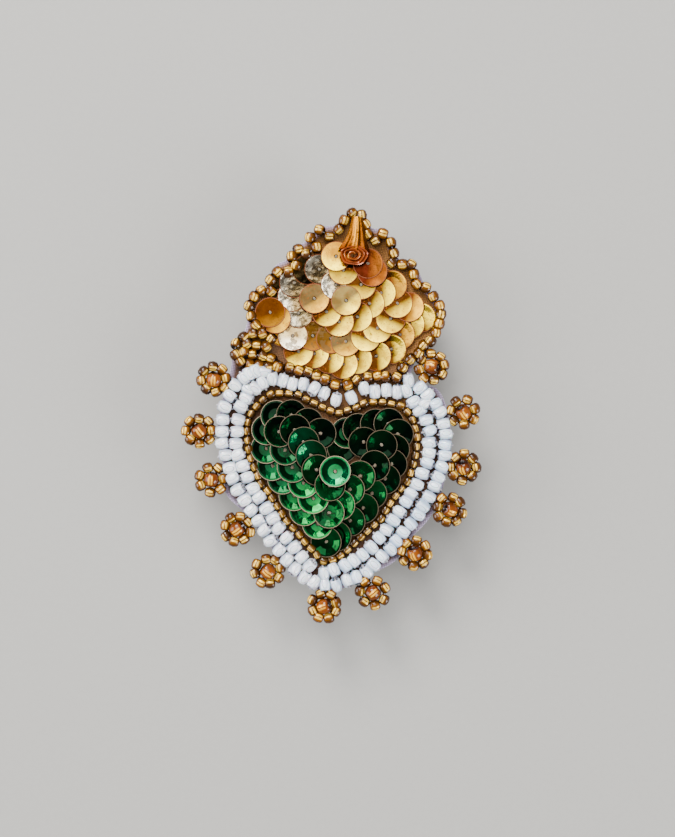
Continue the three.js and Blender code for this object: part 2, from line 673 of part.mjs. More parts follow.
const stem = geometryFrom(joined([alongY(eyeShape, EYE_WIDTH), wire]));
place('pin_stem', stem.translate(hingeX, pinY, axisZ), STEEL);

// A slotted ring, open towards -Z
function slottedRing(bore, radius) {
  const outerTurn = Math.asin(CATCH_SLOT / 2 / radius);
  const innerTurn = Math.asin(CATCH_SLOT / 2 / Math.max(bore, CATCH_SLOT / 2));
  const down = -Math.PI / 2;
  const shape = new THREE.Shape();
  shape.absarc(0, 0, radius, down + outerTurn, down + 2 * Math.PI - outerTurn, false);
  shape.absarc(0, 0, bore, down + 2 * Math.PI - innerTurn, down + innerTurn, true);
  return shape;
}

// Catch housing: a slotted sleeve on a post, with a foot under the bar
const rollerRadius = ROLLER_BORE + ROLLER_WALL;
const sleeveBore = rollerRadius + ROLLER_CLEARANCE;
const sleeveRadius = sleeveBore + CATCH_WALL;
const footTop = barBottom - SEAT_GAP;
const footBottom = footTop - CATCH_FOOT_THICKNESS;
const postBottom = axisZ + sleeveBore + CATCH_WALL / 2;
const housing = joined([
  alongX(slottedRing(sleeveBore, sleeveRadius), CATCH_LENGTH).translate(0, 0, axisZ),
  box(CATCH_LENGTH, CATCH_POST_WIDTH, footBottom - postBottom + CATCH_FOOT_THICKNESS / 2,
    0, 0, (footBottom + postBottom + CATCH_FOOT_THICKNESS / 2) / 2),
  box(CATCH_LENGTH, BAR_WIDTH - 2 * STITCH_CLEARANCE, CATCH_FOOT_THICKNESS,
    0, 0, (footTop + footBottom) / 2),
]);
place('catch_housing', geometryFrom(housing).translate(catchX, pinY, 0), STEEL);

// Turning catch: a slotted tube inside the sleeve, a collar at each end, and a thumb tab
const rollerLength = CATCH_LENGTH + 2 * (ROLLER_CLEARANCE + ROLLER_COLLAR_LENGTH);
const collarRadius = rollerRadius + ROLLER_COLLAR_RISE;
const collarX = CATCH_LENGTH / 2 + ROLLER_CLEARANCE + ROLLER_COLLAR_LENGTH / 2;
const thumbRoot = rollerRadius - ROLLER_WALL / 2;
const thumbEnd = collarRadius + THUMB_REACH;
const thumbMiddle = (thumbRoot + thumbEnd) / 2;
const collar = (end) => (
  alongX(slottedRing(ROLLER_BORE, collarRadius), ROLLER_COLLAR_LENGTH).translate(end * collarX, 0, 0)
);
const roller = joined([
  alongX(slottedRing(ROLLER_BORE, rollerRadius), rollerLength),
  collar(-1),
  collar(1),
  box(ROLLER_COLLAR_LENGTH, thumbEnd - thumbRoot, THUMB_WIDTH, collarX, -thumbMiddle, 0),
]);
place('catch_roller', geometryFrom(roller).translate(catchX, pinY, axisZ), STEEL);

// The origin is under the middle of the whole brooch, on the surface that it lies on
const bounds = new THREE.Box3().setFromObject(brooch);
const middle = bounds.getCenter(new THREE.Vector3());
brooch.position.set(-middle.x, -middle.y, -bounds.min.z);

export default brooch;
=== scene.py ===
"""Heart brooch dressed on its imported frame: beads, sequins, cloth, thread and a locking pin."""
import logging
import math
import random
from contextlib import contextmanager
from dataclasses import dataclass, field
from enum import Enum
from functools import lru_cache
from typing import Any, Callable, Iterator, Optional, Sequence, Union

import bpy
from mathutils import Matrix, Vector


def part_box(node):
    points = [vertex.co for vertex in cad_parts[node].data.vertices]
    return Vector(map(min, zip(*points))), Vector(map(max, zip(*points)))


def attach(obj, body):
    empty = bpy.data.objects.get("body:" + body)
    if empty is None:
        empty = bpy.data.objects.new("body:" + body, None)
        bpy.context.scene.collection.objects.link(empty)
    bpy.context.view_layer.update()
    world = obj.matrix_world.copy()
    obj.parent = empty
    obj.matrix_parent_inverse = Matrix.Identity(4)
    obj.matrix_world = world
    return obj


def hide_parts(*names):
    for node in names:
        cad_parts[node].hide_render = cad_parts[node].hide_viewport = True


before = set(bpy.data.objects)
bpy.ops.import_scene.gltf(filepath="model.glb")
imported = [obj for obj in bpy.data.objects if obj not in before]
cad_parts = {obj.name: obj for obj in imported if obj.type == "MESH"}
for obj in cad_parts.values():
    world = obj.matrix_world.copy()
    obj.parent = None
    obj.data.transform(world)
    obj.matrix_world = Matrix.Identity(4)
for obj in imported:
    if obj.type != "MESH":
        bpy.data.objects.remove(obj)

LOG = logging.getLogger("heart_brooch")

MM = 0.001
# Where the drawing's zero, in the middle of the heart, lies in the frame, in millimetres
DRAWING_X = 0.863
DRAWING_Y = -13.613
CLOTH_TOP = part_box("woven_base")[1].z / MM
BROOCH = "brooch"

Colour = tuple[float, float, float]
Point = tuple[float, float]

WHITE: Colour = (1.0, 1.0, 1.0)


def seen(red: float, green: float, blue: float) -> Colour:
    """Turn a colour as the eye reads it on a screen into the light values of a shader.

    Args:
        red, green, blue: display values from 0 to 1.

    Returns:
        The linear colour.
    """
    def linear(part: float) -> float:
        """One channel."""
        return part / 12.92 if part <= 0.04045 else ((part + 0.055) / 1.055) ** 2.4
    return linear(red), linear(green), linear(blue)


def between(one: Colour, other: Colour, share: float) -> Colour:
    """Mix two colours, share 0 giving the first."""
    share = min(1.0, max(0.0, share))
    return tuple(a + (b - a) * share for a, b in zip(one, other))


def dimmed(colour: Colour, share: float) -> Colour:
    """A colour at this share of its brightness."""
    return tuple(part * share for part in colour)


# Work at the bench

class Bench:
    """Modelling steps shared by all pieces. Each leaves Blender in object mode."""

    @staticmethod
    def clear() -> None:
        """Leave edit mode and deselect everything."""
        if bpy.context.mode != "OBJECT":
            bpy.ops.object.mode_set(mode="OBJECT")
        bpy.ops.object.select_all(action="DESELECT")

    @staticmethod
    def take(*pieces: bpy.types.Object) -> bpy.types.Object:
        """Select these pieces alone, the first of them active."""
        Bench.clear()
        for piece in pieces:
            piece.select_set(True)
        bpy.context.view_layer.objects.active = pieces[0]
        return pieces[0]

    @staticmethod
    @contextmanager
    def editing(piece: bpy.types.Object, kind: str = "FACE") -> Iterator[None]:
        """Edit a piece with its present selection.

        Args:
            piece: the mesh piece.
            kind: VERT, EDGE or FACE.
        """
        Bench.take(piece)
        bpy.ops.object.mode_set(mode="EDIT")
        bpy.ops.mesh.select_mode(type=kind)
        yield
        bpy.ops.object.mode_set(mode="OBJECT")

    @staticmethod
    def pick_points(piece: bpy.types.Object, test: Callable[[Vector], bool]) -> None:
        """Select the points of a mesh whose place passes the test."""
        mesh = piece.data
        for part in (*mesh.polygons, *mesh.edges):
            part.select = False
        for point in mesh.vertices:
            point.select = test(point.co)

    @staticmethod
    def pick_faces(piece: bpy.types.Object, test: Callable[[bpy.types.MeshPolygon], bool]) -> None:
        """Select the faces of a mesh that pass the test."""
        mesh = piece.data
        for part in (*mesh.vertices, *mesh.edges):
            part.select = False
        for face in mesh.polygons:
            face.select = test(face)

    @staticmethod
    def finish_with(piece: bpy.types.Object, kind: str, **settings: Any) -> None:
        """Add a modifier and apply it.

        Args:
            piece: the mesh piece.
            kind: the modifier's type.
            settings: its settings by name.
        """
        Bench.take(piece)
        modifier = piece.modifiers.new(kind.title(), kind)
        for name, value in settings.items():
            setattr(modifier, name, value)
        bpy.ops.object.modifier_apply(modifier=modifier.name)

    @staticmethod
    def copied(template: bpy.types.Object, place: Matrix) -> bpy.types.Object:
        """Copy a model with its own mesh and set it in place, in its mesh."""
        twin = template.copy()
        twin.data = template.data.copy()
        bpy.context.scene.collection.objects.link(twin)
        twin.data.transform(place)
        return twin

    @staticmethod
    def joined(pieces: Sequence[bpy.types.Object], name: str) -> bpy.types.Object:
        """Join pieces into one of this name."""
        whole = Bench.take(*pieces)
        if len(pieces) > 1:
            bpy.ops.object.join()
        whole.name = name
        whole.data.name = name
        return whole

    @staticmethod
    def settle(piece: bpy.types.Object) -> None:
        """Move a piece's place, turn and size into its mesh."""
        Bench.take(piece)
        bpy.ops.object.transform_apply(location=True, rotation=True, scale=True)

    @staticmethod
    def tint(piece: bpy.types.Object, colour: Callable[[Vector], Colour]) -> None:
        """Give every point of a mesh a colour by its place, in the attribute tint."""
        mesh = piece.data
        layer = mesh.color_attributes.get("tint")
        if layer is None:
            layer = mesh.color_attributes.new("tint", "FLOAT_COLOR", "POINT")
        for point, entry in zip(mesh.vertices, layer.data):
            entry.color = (*colour(point.co), 1.0)

    @staticmethod
    def soften(piece: bpy.types.Object, angle: float = 35.0) -> None:
        """Shade smooth except over edges sharper than the angle, in degrees."""
        Bench.take(piece)
        bpy.ops.object.shade_smooth_by_angle(angle=math.radians(angle))

    @staticmethod
    def dress(piece: bpy.types.Object, *finishes: bpy.types.Material) -> None:
        """Give a piece its finishes, in the order of its faces' material numbers."""
        if len(piece.data.materials):
            piece.data.materials.clear()
        for finish in finishes:
            piece.data.materials.append(finish)

    @staticmethod
    def drop(*pieces: bpy.types.Object) -> None:
        """Put models away that were only copied from."""
        for piece in pieces:
            bpy.data.objects.remove(piece, do_unlink=True)


def tube(points: Sequence[Vector], radius: float, sides: int = 6) -> bpy.types.Object:
    """Lay a round thread or wire along points.

    Args:
        points: the middle line, in millimetres in the frame.
        radius: in millimetres.
        sides: how many sides it has around.

    Returns:
        The thread as a mesh.
    """
    line = bpy.data.curves.new("run", "CURVE")
    line.dimensions = "3D"
    line.bevel_depth = radius * MM
    line.bevel_resolution = max(0, sides // 2 - 2)
    line.use_fill_caps = True
    spline = line.splines.new("POLY")
    spline.points.add(len(points) - 1)
    for knot, point in zip(spline.points, points):
        knot.co = (*(point * MM), 1.0)
    run = bpy.data.objects.new("run", line)
    bpy.context.scene.collection.objects.link(run)
    Bench.take(run)
    bpy.ops.object.convert(target="MESH")
    run = bpy.context.object
    for face in run.data.polygons:
        face.use_smooth = True
    return run


# Lines in the plane of the brooch

@dataclass(frozen=True)
class Spot:
    """A place on a line, in the drawing's millimetres, with its heading in radians."""
    x: float
    y: float
    heading: float


@dataclass(frozen=True)
class Route:
    """A smooth line through measured points of the drawing, in millimetres."""
    points: tuple[Point, ...]
    closed: bool = False

    def knot(self, index: int) -> Vector:
        """The point of this number, going round or stopping at the ends."""
        count = len(self.points)
        index = index % count if self.closed else min(max(index, 0), count - 1)
        return Vector(self.points[index])

    def samples(self, steps: int = 16) -> list[Vector]:
        """Points along the line.

        Args:
            steps: how many between two measured points.

        Returns:
            The points, with the last one only where the line is open.
        """
        spans = len(self.points) if self.closed else len(self.points) - 1
        found = []
        for span in range(spans):
            before, start, end, after = (self.knot(span + shift) for shift in (-1, 0, 1, 2))
            for step in range(steps):
                t = step / steps
                found.append(0.5 * (
                    2 * start + (end - before) * t
                    + (2 * before - 5 * start + 4 * end - after) * t ** 2
                    + (3 * start - before - 3 * end + after) * t ** 3
                ))
        if not self.closed:
            found.append(self.knot(len(self.points) - 1))
        return found

    def spots(self, pitch: float) -> list[Spot]:
        """Evenly spaced places on the line, about a pitch apart."""
        line = self.samples()
        if self.closed:
            line.append(line[0])
        lengths = [0.0]
        for one, other in zip(line, line[1:]):
            lengths.append(lengths[-1] + (other - one).length)
        gaps = max(1, round(lengths[-1] / pitch))
        places = []
        span = 0
        for number in range(gaps if self.closed else gaps + 1):
            wanted = lengths[-1] * number / gaps
            while span < len(line) - 2 and lengths[span + 1] < wanted:
                span += 1
            run = lengths[span + 1] - lengths[span]
            share = (wanted - lengths[span]) / run if run else 0.0
            step = line[span + 1] - line[span]
            place = line[span] + step * share
            places.append(Spot(place.x, place.y, math.atan2(step.y, step.x)))
        return places

    def own_spots(self) -> list[Spot]:
        """The measured points themselves, each with the heading of the line there."""
        places = []
        for index in range(len(self.points)):
            here = self.knot(index)
            step = self.knot(index + 1) - self.knot(index - 1)
            places.append(Spot(here.x, here.y, math.atan2(step.y, step.x)))
        return places


def framed(x: float, y: float, z: float) -> Vector:
    """A place of the drawing, with its height, in the frame's millimetres."""
    return Vector((x + DRAWING_X, y + DRAWING_Y, z))


# Shader maths

class Value:
    """A number on a shader's wire, with the usual operators."""

    def __init__(self, wiring: "Wiring", socket: bpy.types.NodeSocket) -> None:
        """Wrap a socket of this wiring."""
        self.wiring = wiring
        self.socket = socket

    def maths(self, operation: str, *terms: Any) -> "Value":
        """Add a Math node over these terms."""
        values = {index: term for index, term in enumerate(terms)}
        made = self.wiring.node("ShaderNodeMath", {"operation": operation}, values)
        return Value(self.wiring, made.outputs[0])

    def __add__(self, other: Any) -> "Value":
        """Sum."""
        return self.maths("ADD", self, other)

    __radd__ = __add__

    def __mul__(self, other: Any) -> "Value":
        """Product."""
        return self.maths("MULTIPLY", self, other)

    __rmul__ = __mul__

    def __sub__(self, other: Any) -> "Value":
        """Difference."""
        return self.maths("SUBTRACT", self, other)

    def __rsub__(self, other: Any) -> "Value":
        """Difference from a number."""
        return self.maths("SUBTRACT", other, self)

    def __truediv__(self, other: Any) -> "Value":
        """Quotient."""
        return self.maths("DIVIDE", self, other)

    def __pow__(self, other: Any) -> "Value":
        """Power."""
        return self.maths("POWER", self, other)

    def __abs__(self) -> "Value":
        """Size without sign."""
        return self.maths("ABSOLUTE", self)

    def part(self) -> "Value":
        """The share past the last whole number."""
        return self.maths("FRACT", self)

    def sine(self) -> "Value":
        """Sine of the value in radians."""
        return self.maths("SINE", self)

    def step(self, low: float, high: float) -> "Value":
        """0 under low, 1 over high and smooth between, or the reverse where low is the higher."""
        settings = {"interpolation_type": "SMOOTHSTEP"}
        down = low > high
        values = {"Value": self, "From Min": min(low, high), "From Max": max(low, high),
                  "To Min": 1.0 if down else 0.0, "To Max": 0.0 if down else 1.0}
        made = self.wiring.node("ShaderNodeMapRange", settings, values)
        return Value(self.wiring, made.outputs["Result"])


class Wiring:
    """The nodes of one finish, and the one way that nodes are added to it."""

    def __init__(self, name: str) -> None:
        """Start an empty finish of this name."""
        self.material = bpy.data.materials.new(name)
        self.material.use_nodes = True
        self.tree = self.material.node_tree
        self.tree.nodes.clear()

    def node(self, kind: str, settings: dict[str, Any], values: dict[Any, Any]) -> bpy.types.Node:
        """Add a node.

        Args:
            kind: the node's type.
            settings: its own settings by name.
            values: numbers, colours, sockets or values by the name or number of an input.

        Returns:
            The node.
        """
        made = self.tree.nodes.new(kind)
        for name, setting in settings.items():
            setattr(made, name, setting)
        for name, value in values.items():
            value = value.socket if isinstance(value, Value) else value
            if isinstance(value, bpy.types.NodeSocket):
                self.tree.links.new(value, made.inputs[name])
            elif isinstance(value, tuple) and made.inputs[name].type == "RGBA":
                made.inputs[name].default_value = (*value[:3], 1.0)
            else:
                made.inputs[name].default_value = value
        return made

    def value(self, node: bpy.types.Node, output: Union[str, int] = 0) -> Value:
        """One output of a node as a value."""
        return Value(self, node.outputs[output])

    def place(self, scale: tuple[float, float, float] = (1.0, 1.0, 1.0),
              turn: float = 0.0) -> bpy.types.NodeSocket:
        """Object coordinates, stretched by scale and turned about Z by degrees."""
        source = self.node("ShaderNodeTexCoord", {}, {})
        values = {"Vector": source.outputs["Object"], "Scale": scale,
                  "Rotation": (0.0, 0.0, math.radians(turn))}
        return self.node("ShaderNodeMapping", {}, values).outputs["Vector"]

    def noise(self, vector: bpy.types.NodeSocket, scale: float, detail: float = 2.0,
              roughness: float = 0.5) -> Value:
        """Soft noise from 0 to 1, scale in patches a metre."""
        values = {"Vector": vector, "Scale": scale, "Detail": detail, "Roughness": roughness}
        return self.value(self.node("ShaderNodeTexNoise", {}, values), "Fac")

    def cells(self, vector: bpy.types.NodeSocket, scale: float) -> Value:
        """Distance to the nearest of scattered points, scale in points a metre."""
        return self.value(self.node("ShaderNodeTexVoronoi", {}, {"Vector": vector, "Scale": scale}))

    def mixed(self, mask: Any, one: Any, other: Any) -> bpy.types.NodeSocket:
        """Colour one where the mask is 0 and the other where it is 1."""
        values = {0: mask, 6: one, 7: other}
        made = self.node("ShaderNodeMix", {"data_type": "RGBA", "clamp_factor": True}, values)
        return made.outputs[2]

    def tinted(self, colour: Any, tint: Any) -> bpy.types.NodeSocket:
        """Two colours multiplied."""
        settings = {"data_type": "RGBA", "blend_type": "MULTIPLY"}
        return self.node("ShaderNodeMix", settings, {0: 1.0, 6: colour, 7: tint}).outputs[2]

    def varied(self, colour: Any, mask: Value, low: float, high: float) -> bpy.types.NodeSocket:
        """A colour darkened to low where the mask is 0 and lit to high where it is 1."""
        return self.tinted(colour, self.mixed(mask, (low,) * 3, (high,) * 3))

    def on_bead(self) -> tuple[Value, Value]:
        """Where a point lies on a bead's own map.

        Returns:
            How far it is round the bead from the nearer of two opposite lines, and how far
            over the bead from its girdle: both end at 0.5, the second one inside the hole.
        """
        source = self.node("ShaderNodeUVMap", {}, {})
        split = self.node("ShaderNodeSeparateXYZ", {}, {"Vector": source.outputs[0]})
        side = abs((self.value(split, "X") * 2.0 + 0.5).part() - 0.5)
        return side, abs(self.value(split, "Y") - 0.5)

    def tint(self) -> bpy.types.NodeSocket:
        """The colour that a piece's own points carry."""
        settings = {"attribute_type": "GEOMETRY", "attribute_name": "tint"}
        return self.node("ShaderNodeAttribute", settings, {}).outputs["Color"]

    def bump(self, height: Value, depth: float, strength: float = 1.0) -> bpy.types.NodeSocket:
        """A relief of this depth in metres as a normal."""
        values = {"Height": height, "Distance": depth, "Strength": strength}
        return self.node("ShaderNodeBump", {}, values).outputs["Normal"]

    def surface(self, values: dict[str, Any]) -> bpy.types.Material:
        """Close the finish with its shader.

        Args:
            values: inputs of the shader by name; only those that vary are linked.

        Returns:
            The finished material.
        """
        shader = self.node("ShaderNodeBsdfPrincipled", {}, values)
        output = self.node("ShaderNodeOutputMaterial", {}, {})
        self.tree.links.new(shader.outputs["BSDF"], output.inputs["Surface"])
        return self.material


# Finishes

@dataclass(frozen=True)
class LinedGlass:
    """Seed bead glass over a lined hole, which shows as two bars along the bead: the lining painted
    bright as a highlight. Painted light on its middle, painted shade at its sides and ends, painted
    dark shade in its bore.
    """
    name: str
    bar: Colour
    hole: Colour
    bar_share: float = 0.15
    split: float = 0.035
    rough: float = 0.12
    # lit is painted light on the bead's middle, shadow is painted shade at its sides and ends
    lit: Colour = (1.35, 1.25, 1.1)
    shadow: Colour = (0.16, 0.11, 0.06)
    cloud_scale: float = 900.0

    def make(self) -> bpy.types.Material:
        """Wire the finish."""
        w = Wiring(self.name)
        side, along = w.on_bead()
        cloud = w.noise(w.place(), self.cloud_scale)
        # The two bars: the lining, painted bright as a highlight
        bar = side.step(self.bar_share + 0.02, self.bar_share - 0.02)
        bar = bar * side.step(self.split - 0.015, self.split + 0.015) * along.step(0.13, 0.09)
        bar = bar * cloud.step(0.2, 0.5)
        # Painted dark shade in the bore
        hole = along.step(0.26, 0.34)
        # Painted shade towards the bead's sides and ends, painted light in its middle
        edge = side.step(0.2, 0.42) * 0.7 + along.step(0.12, 0.24) * 0.6
        body = w.varied(w.tinted(w.tint(), w.mixed(edge, self.lit, self.shadow)), cloud, 0.7, 1.25)
        colour = w.mixed(hole, w.mixed(bar, body, self.bar), self.hole)
        return w.surface({"Base Color": colour, "Metallic": bar * 0.2,
                          "Roughness": hole * 0.3 + bar * 0.1 + self.rough,
                          "Specular IOR Level": 0.3, "Coat Weight": 0.12,
                          "Coat Roughness": 0.04, "IOR": 1.5})


@dataclass(frozen=True)
class MilkGlass:
    """White pearl glass: soft inside, with a faint round mark of painted shade on two sides of the
    bead, painted shade towards its sides and ends, and painted dark shade in its bore.
    """
    name: str
    shade: Colour
    ring: Colour
    hole: Colour
    haze: Colour = (0.88, 0.9, 0.93)
    ring_wide: float = 0.14
    ring_long: float = 0.12
    cloud_scale: float = 700.0
    pit_scale: float = 1500.0

    def make(self) -> bpy.types.Material:
        """Wire the finish."""
        w = Wiring(self.name)
        side, along = w.on_bead()
        cloud = w.noise(w.place(), self.cloud_scale, 3.0)
        # A faint ring of painted shade on two sides of the bead
        out = (side / self.ring_wide) ** 2.0 + (along / self.ring_long) ** 2.0
        out = out + (cloud - 0.5) * 0.5
        edge = out.step(0.6, 0.95) * out.step(1.45, 1.1)
        body = w.tinted(w.tint(), w.mixed(cloud, self.haze, WHITE))
        # Painted shade towards the bead's sides and ends
        round_off = side.step(0.16, 0.4) + along.step(0.1, 0.22) * 0.8
        body = w.tinted(body, w.mixed(round_off, WHITE, self.shade))
        colour = w.mixed(edge * (cloud.step(0.35, 0.65) * 0.45 + 0.35), body, self.ring)
        # Painted dark shade in the bore
        colour = w.mixed(along.step(0.26, 0.36), colour, self.hole)
        relief = w.bump(w.noise(w.place(), self.pit_scale, 1.0), 0.00003, 0.35)
        return w.surface({"Base Color": colour, "Roughness": cloud * 0.15 + 0.16,
                          "Normal": relief, "Coat Weight": 0.8, "Coat Roughness": 0.1,
                          "Subsurface Weight": 0.25, "Subsurface Scale": 0.0006, "IOR": 1.5})


@dataclass(frozen=True)
class Foil:
    """Sequin film: a metal colour under clear plastic, with fine creases and specks."""
    name: str
    metal: float = 1.0
    rough: float = 0.16
    speck: Colour = (0.02, 0.012, 0.006)
    speck_share: float = 0.0
    blotch: float = 0.0
    crease: float = 0.00003
    coat: float = 0.0
    dull: Colour = (0.58, 0.5, 0.4)
    lit: Colour = (1.2, 1.2, 1.2)
    cloud_scale: float = 420.0
    speck_scale: float = 2600.0
    blotch_scale: float = 700.0
    crease_scale: float = 800.0
    crackle_scale: float = 900.0

    def make(self) -> bpy.types.Material:
        """Wire the finish."""
        w = Wiring(self.name)
        cloud = w.noise(w.place(), self.cloud_scale, 3.0)
        fine = w.noise(w.place(), self.speck_scale, 2.0, 0.6)
        body = w.tinted(w.tint(), w.mixed(cloud.step(0.3, 0.7), self.dull, self.lit))
        specks = fine.step(0.64 - 0.12 * self.speck_share, 0.72) * self.speck_share
        rough_spots = w.noise(w.place(), self.blotch_scale, 2.0, 0.6)
        patches = rough_spots.step(0.52, 0.58) * self.blotch
        colour = w.mixed(specks, w.mixed(patches, body, self.speck), self.speck)
        crackle = w.cells(w.place(), self.crackle_scale) * self.blotch
        creases = w.noise(w.place(), self.crease_scale) + crackle
        relief = w.bump(creases, self.crease, 0.6)
        return w.surface({"Base Color": colour, "Metallic": self.metal,
                          "Roughness": cloud * 0.12 + self.rough, "Normal": relief,
                          "Coat Weight": self.coat, "Coat Roughness": 0.05, "IOR": 1.5})


@dataclass(frozen=True)
class Rim:
    """The cut edge of a sequin, where the film is bare and partly worn dark."""
    name: str
    colour: Colour
    worn: float = 0.45
    wear_scale: float = 600.0

    def make(self) -> bpy.types.Material:
        """Wire the finish."""
        w = Wiring(self.name)
        wear = w.noise(w.place(), self.wear_scale)
        colour = w.mixed(wear, dimmed(self.colour, self.worn), self.colour)
        return w.surface({"Base Color": colour, "Metallic": 0.6, "Roughness": wear * 0.2 + 0.25})


@dataclass(frozen=True)
class WovenCloth:
    """Stiff open weave of lilac-white yarn, with painted shade in the gaps between the yarns; its
    tint carries the cloth's painted shade and painted glow.
    """
    name: str
    light: Colour
    dark: Colour
    yarn: float = 0.00032
    weave_turn: float = 4.0
    drift: float = 0.8
    drift_scale: float = 500.0
    dull: Colour = (0.82, 0.8, 0.86)
    lit: Colour = (1.05, 1.05, 1.05)

    def make(self) -> bpy.types.Material:
        """Wire the finish."""
        w = Wiring(self.name)
        wobble = w.noise(w.place(), self.drift_scale)
        split = w.node("ShaderNodeSeparateXYZ", {}, {"Vector": w.place(turn=self.weave_turn)})
        turns = math.pi / self.yarn
        across, along = (abs((w.value(split, way) * turns + wobble * self.drift).sine())
                         for way in "XY")
        yarns = across * along
        # Painted shade in the gaps between the yarns
        colour = w.mixed(yarns.step(0.05, 0.45), self.dark, self.light)
        colour = w.tinted(colour, w.mixed(wobble, self.dull, self.lit))
        # The tint: painted dark shade in the heart and a painted golden glow in the flame
        colour = w.tinted(colour, w.tint())
        relief = w.bump(yarns, 0.00012, 0.9)
        return w.surface({"Base Color": colour, "Roughness": wobble * 0.2 + 0.65,
                          "Normal": relief, "Sheen Weight": 0.3})


@dataclass(frozen=True)
class Felted:
    """Felt with short matted fibres."""
    name: str
    light: Colour
    dark: Colour
    fibre_scale: float = 2400.0
    cross_scale: float = 2000.0
    patch_scale: float = 120.0

    def make(self) -> bpy.types.Material:
        """Wire the finish."""
        w = Wiring(self.name)
        fibre = w.noise(w.place((1.0, 2.2, 1.0), 30.0), self.fibre_scale, 4.0, 0.7)
        other = w.noise(w.place((2.4, 1.0, 1.0), 12.0), self.cross_scale, 4.0, 0.7)
        patch = w.noise(w.place(), self.patch_scale)
        mass = fibre * 0.5 + other * 0.5
        colour = w.mixed(mass.step(0.35, 0.65), self.dark, self.light)
        colour = w.varied(colour, patch, 0.85, 1.1)
        return w.surface({"Base Color": colour, "Roughness": patch * 0.1 + 0.88,
                          "Normal": w.bump(mass, 0.0003, 0.8), "Sheen Weight": 0.6})


@dataclass(frozen=True)
class Spun:
    """Sewing thread with the slant of its plies, and painted shade in the grooves between them."""
    name: str
    light: Colour
    dark: Colour
    ply: float = 0.00022
    slant: float = 38.0
    fuzz_scale: float = 3000.0

    def make(self) -> bpy.types.Material:
        """Wire the finish."""
        w = Wiring(self.name)
        split = w.node("ShaderNodeSeparateXYZ", {}, {"Vector": w.place(turn=self.slant)})
        ply = abs((w.value(split, "X") * (math.pi / self.ply)).sine())
        fuzz = w.noise(w.place(), self.fuzz_scale)
        # Painted shade in the grooves between the plies
        colour = w.varied(w.mixed(ply.step(0.1, 0.6), self.dark, self.light), fuzz, 0.85, 1.1)
        return w.surface({"Base Color": colour, "Roughness": fuzz * 0.2 + 0.6,
                          "Normal": w.bump(ply, 0.00006, 0.7), "Sheen Weight": 0.4})


@dataclass(frozen=True)
class Plated:
    """Nickel-plated steel, brushed along the piece, with dull worn places."""
    name: str
    colour: Colour
    grain: tuple[float, float, float] = (1.0, 24.0, 24.0)
    worn: float = 0.55
    line_scale: float = 260.0
    wear_scale: float = 160.0

    def make(self) -> bpy.types.Material:
        """Wire the finish."""
        w = Wiring(self.name)
        lines = w.noise(w.place(self.grain), self.line_scale, 3.0, 0.6)
        wear = w.noise(w.place(), self.wear_scale, 4.0, 0.6)
        dull = wear.step(0.5, 0.72)
        colour = w.mixed(dull, self.colour, dimmed(self.colour, self.worn))
        colour = w.varied(colour, lines, 0.86, 1.06)
        return w.surface({"Base Color": colour, "Metallic": 1.0,
                          "Roughness": lines * 0.12 + dull * 0.2 + 0.18,
                          "Normal": w.bump(lines, 0.00002, 0.5)})


@dataclass(frozen=True)
class PaleFloor:
    """Matt pale paper."""
    name: str
    colour: Colour
    tooth_scale: float = 900.0

    def make(self) -> bpy.types.Material:
        """Wire the finish."""
        w = Wiring(self.name)
        tooth = w.noise(w.place(), self.tooth_scale, 3.0)
        colour = w.varied(self.colour, tooth, 0.96, 1.02)
        return w.surface({"Base Color": colour, "Roughness": 0.85})


